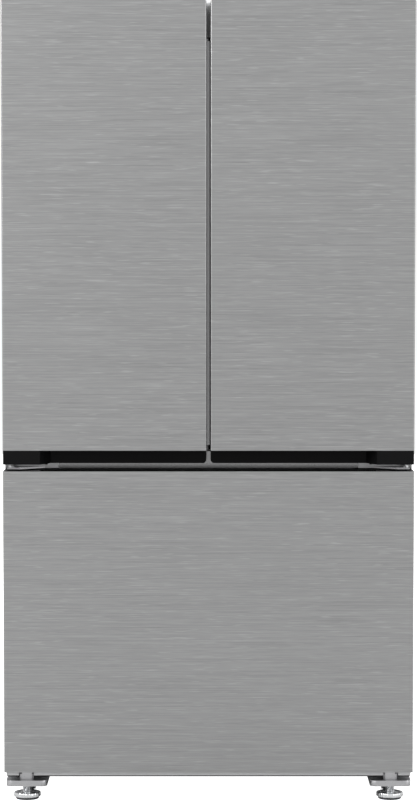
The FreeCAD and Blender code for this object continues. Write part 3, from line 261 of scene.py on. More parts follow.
def brushed_group():
    tree, given, out = new_group(
        "brushed_lines",
        [("Colour", "Color", (0.5, 0.5, 0.5, 1.0)), ("Contrast", "Float", 0.1),
         ("Dashes", "Float", 0.1), ("Roughness", "Float", 0.35), ("Depth", "Float", 0.1)],
        [("Colour", "Color"), ("Roughness", "Float"), ("Normal", "Vector")],
    )
    place = add(tree, "ShaderNodeTexCoord", (-900, -300)).outputs["Object"]

    def stretched(lines, at):
        along, across = lines
        scaled = add(tree, "ShaderNodeVectorMath", at, operation="MULTIPLY")
        scaled.inputs[1].default_value = (along, along, across)
        tree.links.new(place, scaled.inputs[0])
        return scaled.outputs[0]

    long_lines = noise(tree, stretched(LONG_LINES, (-700, -200)), 1.0, 3.0, (-500, -200))
    fine_lines = noise(tree, stretched(FINE_LINES, (-700, -400)), 1.0, 2.0, (-500, -400))
    dashes = noise(tree, stretched(SHORT_DASHES, (-700, -600)), 1.0, 0.0, (-500, -600))
    clouds = noise(tree, place, CLOUD_SCALE, 2.0, (-500, -800))
    long_part = arithmetic(tree, "MULTIPLY", long_lines, LONG_SHARE, (-300, -200))
    fine_part = arithmetic(tree, "MULTIPLY", fine_lines, 1.0 - LONG_SHARE, (-300, -400))
    lines = arithmetic(tree, "ADD", long_part, fine_part, (-100, -300))
    swing = remap(tree, lines, NOISE_LOW, NOISE_HIGH, -1.0, 1.0, (100, -300))
    shade = arithmetic(tree, "MULTIPLY", swing, given.outputs["Contrast"], (250, -300))
    bright = remap(tree, dashes, DASH_FROM, DASH_TO, 0.0, given.outputs["Dashes"], (-100, -600))
    drift = remap(tree, clouds, NOISE_LOW, NOISE_HIGH, -CLOUD_SHADE, CLOUD_SHADE, (-100, -800))
    marks = arithmetic(tree, "ADD", shade, bright, (400, -400))
    total = arithmetic(tree, "ADD", marks, drift, (500, -500))
    gain = arithmetic(tree, "ADD", total, 1.0, (600, -500))
    scaled = add(tree, "ShaderNodeVectorMath", (700, 0), operation="SCALE")
    tree.links.new(given.outputs["Colour"], scaled.inputs[0])
    tree.links.new(gain, scaled.inputs["Scale"])
    tree.links.new(scaled.outputs[0], out.inputs["Colour"])
    rough = arithmetic(tree, "MULTIPLY_ADD", swing, LINE_GLOSS, (600, -200))
    tree.links.new(given.outputs["Roughness"], rough.node.inputs[2])
    tree.links.new(rough, out.inputs["Roughness"])
    normal = bump(tree, lines, given.outputs["Depth"], BRUSH_DEPTH, (600, -700))
    tree.links.new(normal, out.inputs["Normal"])
    return tree


BRUSHED = brushed_group()
print("group", BRUSHED.name, "with", len(BRUSHED.nodes), "nodes")

# %% [markdown]
# ## Moulded grain
# Moulded plastic takes the spark-eroded grain of its tool: bumps a few tenths of a millimetre across.
# Its colour also drifts slowly where the melt cooled at different speeds. One group gives both, for
# caps, liners, trims and rollers.

# %% Moulded grain group
MELT_SCALE = 4.0
GRAIN_GLOSS = 0.05
GRAIN_DEPTH = 0.3 * MM


def moulded_group():
    tree, given, out = new_group(
        "moulded_grain",
        [("Colour", "Color", (0.5, 0.5, 0.5, 1.0)), ("Drift", "Float", 0.04), ("Grain", "Float", 900.0),
         ("Roughness", "Float", 0.4), ("Depth", "Float", 0.1)],
        [("Colour", "Color"), ("Roughness", "Float"), ("Normal", "Vector")],
    )
    place = add(tree, "ShaderNodeTexCoord", (-900, -300)).outputs["Object"]
    grain = noise(tree, place, given.outputs["Grain"], 2.0, (-600, -200))
    clouds = noise(tree, place, MELT_SCALE, 3.0, (-600, -500))
    swing = remap(tree, clouds, NOISE_LOW, NOISE_HIGH, -1.0, 1.0, (-300, -500))
    drift = arithmetic(tree, "MULTIPLY", swing, given.outputs["Drift"], (-100, -500))
    gain = arithmetic(tree, "ADD", drift, 1.0, (100, -500))
    scaled = add(tree, "ShaderNodeVectorMath", (400, 0), operation="SCALE")
    tree.links.new(given.outputs["Colour"], scaled.inputs[0])
    tree.links.new(gain, scaled.inputs["Scale"])
    tree.links.new(scaled.outputs[0], out.inputs["Colour"])
    gloss = remap(tree, grain, NOISE_LOW, NOISE_HIGH, -GRAIN_GLOSS, GRAIN_GLOSS, (-300, -200))
    rough = arithmetic(tree, "ADD", gloss, given.outputs["Roughness"], (300, -200))
    tree.links.new(rough, out.inputs["Roughness"])
    normal = bump(tree, grain, given.outputs["Depth"], GRAIN_DEPTH, (300, -400))
    tree.links.new(normal, out.inputs["Normal"])
    return tree


MOULDED = moulded_group()
print("group", MOULDED.name)

# %% [markdown]
# ## Materials
# Every material is a Principled shader fed by one of the groups. Numbers that are the same all over a
# surface, such as metallic or coat, are set on the shader itself, because they need no texture.

# %% Material maker
def finish(name, group, colour, roughness, metallic=0.0, constants=(), **group_values):
    """A material whose shader takes colour, roughness and normal from a placed group."""
    material = bpy.data.materials.new(name)
    material.use_nodes = True
    tree = material.node_tree
    shader = tree.nodes["Principled BSDF"]
    placed = add(tree, "ShaderNodeGroup", (-400, 0))
    placed.node_tree = group
    placed.inputs["Colour"].default_value = (*colour, 1.0)
    placed.inputs["Roughness"].default_value = roughness
    for label, value in group_values.items():
        placed.inputs[label].default_value = value
    shader.inputs["Metallic"].default_value = metallic
    for label, value in dict(constants).items():
        shader.inputs[label].default_value = value
    tree.links.new(placed.outputs["Colour"], shader.inputs["Base Color"])
    tree.links.new(placed.outputs["Roughness"], shader.inputs["Roughness"])
    tree.links.new(placed.outputs["Normal"], shader.inputs["Normal"])
    return material


print("material maker ready")

# %% [markdown]
# ## Metals and the shell's paint
# The front sheets are brushed stainless steel. The shell behind them is painted sheet, because nobody
# sees it between two cupboards. Zinc, plating and chrome differ mostly in how rough they are.

# %% Metals and shell paint
STEEL = finish("brushed_stainless", BRUSHED, (0.352, 0.354, 0.355), 0.38, 1.0,
               Contrast=0.17, Dashes=0.2, Depth=0.12)
SHELL_PAINT = finish("sprayed_grey_shell", MOULDED, (0.36, 0.365, 0.37), 0.42, 0.0,
                     {"Coat Weight": 0.15}, Drift=0.02, Grain=700.0, Depth=0.05)
ZINC = finish("zinc_sheet", MOULDED, (0.55, 0.56, 0.57), 0.42, 0.9, Drift=0.04, Grain=160.0, Depth=0.04)
HINGE_STEEL = finish("plated_hinge_steel", MOULDED, (0.5, 0.5, 0.51), 0.32, 1.0,
                     Drift=0.06, Grain=500.0, Depth=0.05)
CHROME = finish("chromed_steel", MOULDED, (0.72, 0.73, 0.74), 0.12, 1.0,
                Drift=0.03, Grain=300.0, Depth=0.02)
RAIL_STEEL = finish("grey_coated_rail", MOULDED, (0.3, 0.3, 0.303), 0.2, 1.0,
                    Drift=0.05, Grain=900.0, Depth=0.02)
print(len(bpy.data.materials), "metals and paints")

# %% [markdown]
# ## Plastics, foam and small parts
# Light surfaces inside make the food easy to see, and dark ones outside hide the gaps. The black caps
# hardly shine, so that the finger channels read as deep shadows.

# %% Plastics, foam and small parts
BLACK_CAP = finish("black_cap_plastic", MOULDED, (0.004, 0.004, 0.0042), 0.45, 0.0,
                   {"Specular IOR Level": 0.08}, Drift=0.1, Grain=1200.0, Depth=0.1)
DARK_PLASTIC = finish("dark_plastic", MOULDED, (0.03, 0.03, 0.032), 0.5, 0.0,
                      Drift=0.1, Grain=900.0, Depth=0.15)
LIGHT_PLASTIC = finish("light_grey_plastic", MOULDED, (0.5, 0.505, 0.51), 0.45, 0.0,
                       Drift=0.02, Grain=900.0, Depth=0.1)
LINER_WHITE = finish("vacuum_formed_white", MOULDED, (0.8, 0.81, 0.815), 0.3, 0.0,
                     Drift=0.015, Grain=220.0, Depth=0.03)
TRIM_GREY = finish("satin_grey_trim", MOULDED, (0.55, 0.56, 0.57), 0.3, 0.0,
                   Drift=0.02, Grain=700.0, Depth=0.05)
SEAL_GREY = finish("soft_grey_seal", MOULDED, (0.3, 0.305, 0.31), 0.6, 0.0,
                   Drift=0.05, Grain=600.0, Depth=0.08)
FOAM = finish("blown_foam", MOULDED, (0.72, 0.6, 0.36), 0.85, 0.0, Drift=0.12, Grain=250.0, Depth=0.6)
SLIDE_STEEL = finish("drawn_slide_steel", BRUSHED, (0.55, 0.555, 0.56), 0.3, 1.0,
                     Contrast=0.06, Dashes=0.05, Depth=0.08)
COMPRESSOR_PAINT = finish("black_pot_paint", MOULDED, (0.012, 0.012, 0.013), 0.3, 0.0,
                          {"Coat Weight": 0.3}, Drift=0.1, Grain=120.0, Depth=0.1)
ALUMINIUM = finish("fin_aluminium", BRUSHED, (0.68, 0.69, 0.7), 0.35, 1.0,
                   Contrast=0.05, Dashes=0.0, Depth=0.05)
FAN_WHITE = finish("fan_plastic", MOULDED, (0.7, 0.71, 0.72), 0.35, 0.0,
                   Drift=0.03, Grain=800.0, Depth=0.05)
ROLLER_NYLON = finish("roller_nylon", MOULDED, (0.06, 0.06, 0.062), 0.45, 0.0,
                      Drift=0.15, Grain=500.0, Depth=0.15)
print(len(bpy.data.materials), "materials so far")

# %% [markdown]
# ## Floor
# The floor takes soft shadows and throws light back up at the drawer, so its own colour is a middle
# grey. A little glow that only the lens sees keeps it white in the picture.

# %% Floor
FLOOR_GLOW = 1.3


def floor_material():
    """A grey floor that stays white where the lens sees it, even in the shade under the cabinet."""
    white = {"Emission Color": (1.0, 1.0, 1.0, 1.0)}
    material = finish("pale_floor", MOULDED, (0.58, 0.58, 0.58), 0.6, 0.0, white,
                      Drift=0.01, Grain=60.0, Depth=0.02)
    tree = material.node_tree
    seen = add(tree, "ShaderNodeLightPath", (-600, -500))
    glow = remap(tree, seen.outputs["Is Camera Ray"], 0.0, 1.0, 0.0, FLOOR_GLOW, (-300, -500))
    tree.links.new(glow, tree.nodes["Principled BSDF"].inputs["Emission Strength"])
    return material


floor.data.materials.append(floor_material())
print("floor wears", floor.data.materials[0].name)

# %% [markdown]
# ## Clear plastic and glass
# Bins and crispers are clear polystyrene: looked at straight on they almost vanish, and at a grazing
# angle they turn milky, which Layer Weight gives. The shelves are tempered glass, which refracts and
# carries a faint green in its colour.

# %% Clear plastic and glass
FACING_ALPHA = 0.28
GRAZING_ALPHA = 0.85


def clear_plastic():
    material = finish("clear_polystyrene", MOULDED, (0.82, 0.87, 0.9), 0.12, 0.0, {"IOR": 1.55},
                      Drift=0.02, Grain=300.0, Depth=0.02)
    tree = material.node_tree
    edge = add(tree, "ShaderNodeLayerWeight", (-600, -400), Blend=0.35)
    alpha = remap(tree, edge.outputs["Facing"], 0.0, 1.0, FACING_ALPHA, GRAZING_ALPHA, (-300, -400))
    tree.links.new(alpha, tree.nodes["Principled BSDF"].inputs["Alpha"])
    return material


CLEAR = clear_plastic()
GLASS = finish("shelf_glass", MOULDED, (0.86, 0.95, 0.92), 0.06, 0.0,
               {"Transmission Weight": 1.0, "IOR": 1.5}, Drift=0.02, Grain=40.0, Depth=0.005)
LENS_WHITE = finish("lamp_lens", MOULDED, (0.9, 0.92, 0.95), 0.25, 0.0, {"Transmission Weight": 0.2},
                    Drift=0.01, Grain=500.0, Depth=0.2)
print("clear plastic, glass and lens made")

# %% [markdown]
# ## Finishes on the engineering pieces
# Pieces whose shape is already right only need a finish and softened edges. A real edge is never
# perfectly sharp: a bevel of a few tenths of a millimetre catches the light. Weld comes first, because
# the imported faces don't share their corners, and a bevel needs edges that two faces share.

# %% Dress the engineering pieces
WELD_WIDTH = 0.01 * MM
SOFT_ANGLE = 40.0
DRESS = {
    STEEL: ["left_door_skin", "right_door_skin", "drawer_skin"],
    SHELL_PAINT: ["outer_shell"],
    ZINC: ["back_panel", "base_pan", "machine_cover"],
    HINGE_STEEL: ["top_hinges", "middle_hinges", "foot_brackets"],
    RAIL_STEEL: ["mid_rail", "mullion_bar"],
    BLACK_CAP: ["left_bottom_cap", "right_bottom_cap", "drawer_top_cap"],
    DARK_PLASTIC: ["left_top_cap", "right_top_cap", "drip_tray", "power_inlet", "left_foot_sole",
                   "right_foot_sole", "condenser_fan"],
    LIGHT_PLASTIC: ["hinge_cover", "drawer_bottom_cap"],
    LINER_WHITE: ["fridge_liner", "freezer_liner", "left_door_liner", "right_door_liner", "drawer_liner",
                  "mullion_guide", "air_duct", "freezer_duct_cover"],
    TRIM_GREY: ["shelf_frames", "shelf_ladders"],
    SEAL_GREY: ["left_door_gasket", "right_door_gasket", "drawer_gasket"],
    FOAM: ["insulation_foam", "left_door_foam", "right_door_foam", "drawer_foam"],
    SLIDE_STEEL: ["fixed_slides", "moving_slides"],
    COMPRESSOR_PAINT: ["compressor"],
    ALUMINIUM: ["evaporator", "condenser"],
    FAN_WHITE: ["freezer_fan"],
    ROLLER_NYLON: ["front_rollers", "rear_rollers"],
    CLEAR: ["left_door_bins", "right_door_bins", "left_crisper", "right_crisper", "drawer_basket",
            "freezer_tray"],
    GLASS: ["glass_shelves"],
    LENS_WHITE: ["light_panel"],
    CHROME: ["left_foot_screw", "right_foot_screw", "hinge_screws"],
}
# Width of the softened edges, in millimetres.
BEVELS = {
    "outer_shell": 0.6, "hinge_cover": 0.8, "left_bottom_cap": 0.8, "right_bottom_cap": 0.8,
    "drawer_top_cap": 0.8, "drawer_bottom_cap": 0.8, "foot_brackets": 0.8, "middle_hinges": 0.5,
    "top_hinges": 0.5, "left_door_liner": 1.5, "right_door_liner": 1.5, "drawer_liner": 1.5,
    "shelf_frames": 0.8, "mullion_bar": 0.8, "mid_rail": 0.5,
}


def soften(thing, width):
    weld = thing.modifiers.new("weld", "WELD")
    weld.merge_threshold = WELD_WIDTH
    bevel = thing.modifiers.new("bevel", "BEVEL")
    bevel.width = width
    bevel.segments = 2
    bevel.limit_method = "ANGLE"
    bevel.angle_limit = math.radians(SOFT_ANGLE)
    bevel.harden_normals = True


for material, names in DRESS.items():
    for name in names:
        thing = nodes[name]
        thing.data.materials.clear()
        thing.data.materials.append(material)
        if name in BEVELS:
            soften(thing, BEVELS[name] * MM)
undressed = set(nodes) - {name for names in DRESS.values() for name in names}
print("dressed", len(nodes) - len(undressed), "pieces; left over:", sorted(undressed))

# %% [markdown]
# ## Building finer pieces
# A few small builders make nearly every finer piece. The first ones skin a row of loops, spin an outline
# round an axis and close a piece onto its body. Modifiers such as Screw could spin too, but loops of
# points let the radius change with the angle, which scallops and threads need.

# %% Builders
SAME_POINT = 0.001 * MM


def as_object(name, bm, material, body, smooth=40.0):
    """Closes a piece: faces turned outwards, smooth up to an angle, riding on its body."""
    bmesh.ops.remove_doubles(bm, verts=bm.verts, dist=SAME_POINT)
    bmesh.ops.recalc_face_normals(bm, faces=bm.faces)
    mesh = bpy.data.meshes.new(name)
    bm.to_mesh(mesh)
    bm.free()
    mesh.materials.append(material)
    for polygon in mesh.polygons:
        polygon.use_smooth = True
    mesh.set_sharp_from_angle(angle=math.radians(smooth))
    made = bpy.data.objects.new(name, mesh)
    bpy.context.scene.collection.objects.link(made)
    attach(made, body)
    return made


def skin_loops(bm, loops, closed=False):
    """Quads between neighbouring loops of equal length, with flat ends or joined end to end."""
    rows = [[bm.verts.new(point) for point in loop] for loop in loops]
    pairs = list(zip(rows, rows[1:]))
    if closed:
        pairs.append((rows[-1], rows[0]))
    else:
        bm.faces.new(rows[0])
        bm.faces.new(rows[-1])
    for first, second in pairs:
        count = len(first)
        for index in range(count):
            after = (index + 1) % count
            bm.faces.new((first[index], first[after], second[after], second[index]))


# Each matrix turns a piece made about Z so that it stands about the named axis.
AXES = {
    "x": Matrix(((0, 0, 1), (1, 0, 0), (0, 1, 0))),
    "y": Matrix(((0, 1, 0), (0, 0, 1), (1, 0, 0))),
    "z": Matrix.Identity(3),
}


def spin(bm, outline, centre, axis="z", count=32, wobble=None, bored=False):
    """Spins (radius, height) points round an axis.

    wobble changes the radius with the height and the angle; bored joins the last point to the first.
    """
    loops = []
    for radius, rise in outline:
        loop = []
        for step in range(count):
            turn = 2 * math.pi * step / count
            reach = radius if wobble is None else wobble(radius, rise, turn)
            point = Vector((reach * math.cos(turn), reach * math.sin(turn), rise))
            loop.append(AXES[axis] @ point + Vector(centre))
        loops.append(loop)
    skin_loops(bm, loops, closed=bored)


def spun(name, outline, centre, material, body, axis="z", count=32, wobble=None):
    bm = bmesh.new()
    spin(bm, outline, centre, axis, count, wobble)
    return as_object(name, bm, material, body)


print("loops, spins and closing ready")

# %% [markdown]
# ## Blocks, basins and frames
# These builders work from two opposite corners, as the engineering boxes do: a block with eased edges,
# an open basin with rounded corners, and an outline swept round a rectangle with mitred corners.

# %% Blocks, basins and frames
def middle(low, high):
    return tuple((first + second) / 2 for first, second in zip(low, high))


def spread(first, last, count):
    """Evenly spaced values from first to last."""
    return [first + (last - first) * index / (count - 1) for index in range(count)]


def add_block(bm, low, high, ease=0.0):
    """A block between two corners, with eased edges if asked for."""
    size = [top - bottom for bottom, top in zip(low, high)]
    place = Matrix.Translation(middle(low, high)) @ Matrix.Diagonal((*size, 1.0))
    grown = bmesh.ops.create_cube(bm, size=1.0, matrix=place)
    if ease:
        edges = list({edge for vert in grown["verts"] for edge in vert.link_edges})
        bmesh.ops.bevel(bm, geom=edges, offset=ease, segments=2, affect="EDGES", profile=0.5)


def round_rectangle(x, y, z, radius, steps=5):
    """Points round a rectangle with rounded corners at one height."""
    corners = ((x[1] - radius, y[1] - radius, 0), (x[0] + radius, y[1] - radius, 1),
               (x[0] + radius, y[0] + radius, 2), (x[1] - radius, y[0] + radius, 3))
    points = []
    for centre_x, centre_y, quarter in corners:
        for step in range(steps + 1):
            turn = math.pi / 2 * (quarter + step / steps)
            points.append((centre_x + radius * math.cos(turn), centre_y + radius * math.sin(turn), z))
    return points


def basin(bm, low, high, wall, radius, rim, draft):
    """An open basin: walls lean inwards towards the floor and end in a rolled rim."""
    def at(inset, z):
        x = (low[0] + inset, high[0] - inset)
        y = (low[1] + inset, high[1] - inset)
        return round_rectangle(x, y, z, max(radius - inset, wall))

    foot = rim + draft
    floor_z, top = low[2], high[2]
    outside = [at(foot + wall, floor_z), at(foot, floor_z + wall), at(rim, top - 2 * rim)]
    rolled = [at(rim * 0.3, top - 2 * rim), at(0.0, top - 1.5 * rim), at(0.0, top - 0.5 * rim),
              at(rim * 0.3, top), at(rim + wall * 0.5, top), at(rim + wall, top - rim * 0.5)]
    inside = [at(foot + wall, floor_z + 2.5 * wall), at(foot + 2.5 * wall, floor_z + wall)]
    skin_loops(bm, outside + rolled + inside)


def mitred_frame(name, x, z, outline, material, body):
    """Sweeps (inset, y) points round an upright rectangle with mitred corners."""
    corners = ((x[0], 1, z[0], 1), (x[1], -1, z[0], 1), (x[1], -1, z[1], -1), (x[0], 1, z[1], -1))
    loops = [[(edge_x + sign_x * inset, y, edge_z + sign_z * inset) for inset, y in outline]
             for edge_x, sign_x, edge_z, sign_z in corners]
    bm = bmesh.new()
    skin_loops(bm, loops, closed=True)
    return as_object(name, bm, material, body)


def add_piece(name, bm, material, body):
    """A piece of its own that stands for no engineering node."""
    made = as_object(name, bm, material, body)
    return made


print("blocks, basins and frames ready")

# %% [markdown]
# ## Seals
# A door seal isn't a solid block. It is a soft tube that holds a flat magnet against the cabinet, with a
# pleated bellows behind it that lets the tube follow an uneven door, and a foot that snaps into the
# liner. The outline below goes once round that section, from the door's liner to the cabinet.

# %% Seals
PLEATS = 3
SEAL_WIDTH = 12.0 * MM
TUBE_SHARE = 0.42
MAGNET_STEP = 1.0 * MM
SEAL_EASE = 0.4 * MM


def seal_outline(width, near, far):
    """(inset, y) points of a seal of a given width: foot, pleats, then the magnet's tube."""
    tube = far - (far - near) * TUBE_SHARE
    outer, inner = [], []
    for pleat in range(2 * PLEATS + 1):
        y = near + (tube - near) * pleat / (2 * PLEATS)
        squeeze = width * (0.3 if pleat % 2 else 0.16)
        outer.append((squeeze, y))
        inner.append((width - squeeze, y))
    low, high = tube + SEAL_EASE, far - 2 * SEAL_EASE
    side = [(0.06, low), (0.0, low + MAGNET_STEP), (0.0, high), (0.1, far)]
    head = [(share * width, y) for share, y in side]
    head += [((1.0 - share) * width, y) for share, y in side[::-1]]
    return outer + head + inner[::-1]


def make_seal(node, body):
    low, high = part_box(node)
    outline = seal_outline(SEAL_WIDTH, low[1], high[1])
    seal = mitred_frame(node + "_bellows", (low[0], high[0]), (low[2], high[2]), outline, SEAL_GREY, body)
    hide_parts(node)
    return seal


for node, body in (("left_door_gasket", "left_door"), ("right_door_gasket", "right_door"),
                   ("drawer_gasket", "freezer_drawer")):
    seal = make_seal(node, body)
    print(seal.name, len(seal.data.polygons), "faces")

# %% [markdown]
# ## Pieces that come in sets
# Some engineering pieces are sets: all bins of a door, or all shelves, are one object. Their corners are
# grouped by the edges that join them, which gives the box of each separate solid.

# %% Separate solids
def solids_of(node):
    """Boxes (low, high) of the separate solids in a node, from its connected faces."""
    bm = bmesh.new()
    bm.from_mesh(nodes[node].data)
    bmesh.ops.remove_doubles(bm, verts=bm.verts, dist=WELD_WIDTH)
    left = set(bm.verts)
    boxes = []
    while left:
        seed = min(left, key=lambda vert: vert.index)
        group, queue = {seed}, [seed]
        while queue:
            for edge in queue.pop().link_edges:
                for vert in edge.verts:
                    if vert not in group:
                        group.add(vert)
                        queue.append(vert)
        left -= group
        places = [nodes[node].matrix_world @ vert.co for vert in group]
        boxes.append((tuple(min(p[i] for p in places) for i in range(3)),
                      tuple(max(p[i] for p in places) for i in range(3))))
    bm.free()
    return sorted(boxes)


print("glass shelves found:", len(solids_of("glass_shelves")))

# %% [markdown]
# ## Door bins
# A moulded bin leans inwards towards its floor so that it leaves the mould, and its rim is rolled so
# that the thin wall doesn't flex. Ribs under the rim stiffen the long walls. Straight boxes would look
# sharper, but no injection mould could make them.

# %% Door bins
BIN_WALL = 2.2 * MM
BIN_CORNER = 10 * MM
BIN_RIM = 3 * MM
BIN_DRAFT = 2 * MM
BIN_RIBS = 7
RIB_DEPTH = 3 * MM
RIB_RISE = 22 * MM
RIB_DROP = 5 * MM
RIB_INSET = 1.2 * MM
RIB_HALF = 1 * MM


def add_ribs(bm, low, high):
    """Small upright ribs under the rims of both long walls."""
    front, back = low[1] + RIB_INSET, high[1] - RIB_INSET
    for index in range(BIN_RIBS):
        x = low[0] + (high[0] - low[0]) * (index + 1) / (BIN_RIBS + 1)
        for y in ((front, front + RIB_DEPTH), (back - RIB_DEPTH, back)):
            add_block(bm, (x - RIB_HALF, y[0], high[2] - RIB_RISE),
                      (x + RIB_HALF, y[1], high[2] - RIB_DROP))


def make_bins(node, body):
    for index, (low, high) in enumerate(solids_of(node)):
        bm = bmesh.new()
        basin(bm, low, high, BIN_WALL, BIN_CORNER, BIN_RIM, BIN_DRAFT)
        add_ribs(bm, low, high)
        made = add_piece(f"{node}_moulded_{index + 1}", bm, CLEAR, body)
        if index == 0:
            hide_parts(node)
        bin_trim(f"{node}_trim_{index + 1}", low, high, body)


def bin_trim(name, low, high, body):
    """A satin band along the wall that faces into the room when the door is open."""
    bm = bmesh.new()
    add_block(bm, (low[0] + 6 * MM, high[1] - 2.2 * MM, high[2] - 26 * MM),
              (high[0] - 6 * MM, high[1] - 0.2 * MM, high[2] - 7 * MM), 0.8 * MM)
    add_piece(name, bm, TRIM_GREY, body)


for side_name in ("left", "right"):
    make_bins(side_name + "_door_bins", side_name + "_door")

# %% [markdown]
# ## Crispers, basket and tray
# The crispers, the basket and the tray hang on rims and wings that reach past their bodies. Their
# engineering shapes already have those, so here they keep them, with eased edges. The crispers gain the
# handle strips that a moulding carries, and the crispers and the tray gain its ribs.

# %% Crispers, basket and tray
STRIP_RISE = 22 * MM
STRIP_THICKNESS = 2.5 * MM
STRIP_INSET = 4 * MM
DRAWER_EASE = 1.2 * MM


def make_front_strip(node):
    """A satin handle strip across the front of a clear drawer, with a hollow for the fingers."""
    low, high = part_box(node)
    top = high[2] - 1 * MM
    bottom = top - STRIP_RISE
    front = low[1] + 0.3 * MM
    back = front + STRIP_THICKNESS
    outline = [(back, bottom), (front + 1 * MM, bottom + 1 * MM), (front, bottom + 4 * MM),
               (front, top - 3 * MM), (front + 2 * MM, top), (back, top)]
    bm = bmesh.new()
    ends = (low[0] + STRIP_INSET, high[0] - STRIP_INSET)
    skin_loops(bm, [[(x, y, z) for y, z in outline] for x in ends])
    add_piece(node + "_handle_strip", bm, TRIM_GREY, node)


def make_wall_ribs(node, count, drop):
    """Upright ribs along the inside of a clear drawer's side walls, ending a drop below its top."""
    low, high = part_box(node)
    bm = bmesh.new()
    for index in range(count):
        y = low[1] + (high[1] - low[1]) * (index + 1) / (count + 1)
        for x in (low[0] + 3.2 * MM, high[0] - 5.2 * MM):
            add_block(bm, (x, y - RIB_HALF, low[2] + 12 * MM),
                      (x + 2 * RIB_HALF, y + RIB_HALF, high[2] - drop), 0.4 * MM)
    add_piece(node + "_ribs", bm, CLEAR, node)


for crisper in ("left_crisper", "right_crisper"):
    make_front_strip(crisper)
    make_wall_ribs(crisper, 6, 30 * MM)
for node in ("left_crisper", "right_crisper", "drawer_basket", "freezer_tray"):
    soften(nodes[node], DRAWER_EASE)
make_wall_ribs("freezer_tray", 5, 20 * MM)
print("crisper strips and ribs made")

# %% [markdown]
# ## Levelling feet
# The disc is turned by hand, so its edge is scalloped for grip. The stem carries a screw thread: a ridge
# whose height over the core depends on the angle as well as on the height, which is what makes it wind
# upwards. A stack of rings would look alike from far away, but a ring never climbs.

# %% Feet
DISC_TOP = 15 * MM
SCALLOPS = 32
SCALLOP_DEPTH = 0.6 * MM
THREAD_PITCH = 2 * MM
THREAD_DEPTH = 0.85 * MM
THREAD_CORE = 9.1 * MM
THREAD_END = 1.5 * MM
THREAD_STEP = 0.5 * MM


def disc_outline(radius, low):
    """(radius, height) points of the hand disc, from its underside over the rim to the stem."""
    high = DISC_TOP
    return [(8 * MM, low), (radius * 0.86, low), (radius * 0.96, low + 0.8 * MM), (radius, low + 2 * MM),
            (radius, high - 2 * MM), (radius * 0.97, high - 0.6 * MM), (radius * 0.9, high),
            (radius * 0.7, high), (radius * 0.62, high - 0.8 * MM), (radius * 0.45, high - 0.8 * MM),
            (radius * 0.4, high)]


def make_foot(side_name):
    node = side_name + "_foot_screw"
    low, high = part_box(node)
    centre = ((low[0] + high[0]) / 2, (low[1] + high[1]) / 2, 0.0)
    radius = (high[0] - low[0]) / 2
    top = high[2]

    def scalloped(reach, rise, turn):
        depth = SCALLOP_DEPTH if reach > radius * 0.8 else 0.0
        return reach - depth * (0.5 - 0.5 * math.cos(SCALLOPS * turn))

    def threaded(reach, rise, turn):
        phase = (rise / THREAD_PITCH - turn / (2 * math.pi)) % 1.0
        ridge = THREAD_DEPTH * (1.0 - abs(2.0 * phase - 1.0))
        return reach + ridge * min(1.0, (top - rise) / THREAD_END)

    bm = bmesh.new()
    disc_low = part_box(side_name + "_foot_sole")[1][2] + 0.3 * MM
    spin(bm, disc_outline(radius, disc_low), centre, count=SCALLOPS * 6, wobble=scalloped)
    count = int((top - DISC_TOP) / THREAD_STEP)
    stem = [(THREAD_CORE, rise) for rise in spread(DISC_TOP - THREAD_STEP, top, count + 1)]
    spin(bm, stem, centre, count=24, wobble=threaded)
    foot = as_object(side_name + "_foot_thread_and_disc", bm, CHROME, node, 35.0)
    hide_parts(node)
    return centre


print("thread of", THREAD_PITCH / MM, "mm pitch and a disc with", SCALLOPS, "scallops")

# %% [markdown]
# ## Rubber soles
# The chromed disc turns on a rubber sole that grips the floor. Its underside is hollow in the middle, so
# that it stands on a ring and doesn't rock.

# %% Rubber soles
def make_sole(side_name, centre):
    """A rubber pad with a raised lip and a recess for the disc's hub."""
    sole = [(4 * MM, 1.0 * MM), (16 * MM, 1.0 * MM), (17 * MM, 0.0), (25 * MM, 0.0), (26 * MM, 1.0 * MM),
            (25.6 * MM, 3.4 * MM), (25.0 * MM, 4.0 * MM), (6.2 * MM, 4.0 * MM), (6.2 * MM, 2.2 * MM)]
    pad = spun(side_name + "_foot_rubber_sole", sole, centre, DARK_PLASTIC, side_name + "_foot_sole")
    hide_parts(side_name + "_foot_sole")


for side_name in ("left", "right"):
    centre = make_foot(side_name)
    make_sole(side_name, centre)
    print(side_name, "foot stands at", tuple(round(value, 3) for value in centre))

# %% [markdown]
# ## Rollers
# The rollers are moulded nylon: a crowned tread, a web that is thinner than the tread, and a hub round
# the axle. One outline gives all of it, mirrored about the roller's middle.

# %% Rollers
ROLLER_BORE = 4.06 * MM


def make_rollers(node):
    bm = bmesh.new()
    for low, high in solids_of(node):
        radius = (high[2] - low[2]) / 2
        half = (high[0] - low[0]) / 2
        side = [(ROLLER_BORE, half), (radius * 0.42, half), (radius * 0.46, half * 0.55),
                (radius * 0.74, half * 0.55), (radius * 0.78, half), (radius * 0.93, half),
                (radius * 0.985, half * 0.7)]
        outline = [(reach, -out) for reach, out in side] + [(radius, 0.0)] + side[::-1]
        spin(bm, outline, middle(low, high), "x", 40, bored=True)
    made = as_object(node + "_moulded", bm, ROLLER_NYLON, node)
    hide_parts(node)


make_rollers("front_rollers")
make_rollers("rear_rollers")
print("rollers:", [len(solids_of(node)) for node in ("front_rollers", "rear_rollers")])

# %% [markdown]
# ## Screws
# A screw head is a low dome with a socket for the driver. The socket's six sides come from the spin: its
# radius follows the angle as a hexagon's does, so no cut is needed.

# %% Screws
SHORT_SCREW = 5 * MM
HINGE_HEAD_RADIUS = 5 * MM
HINGE_HEAD_RISE = 2.5 * MM


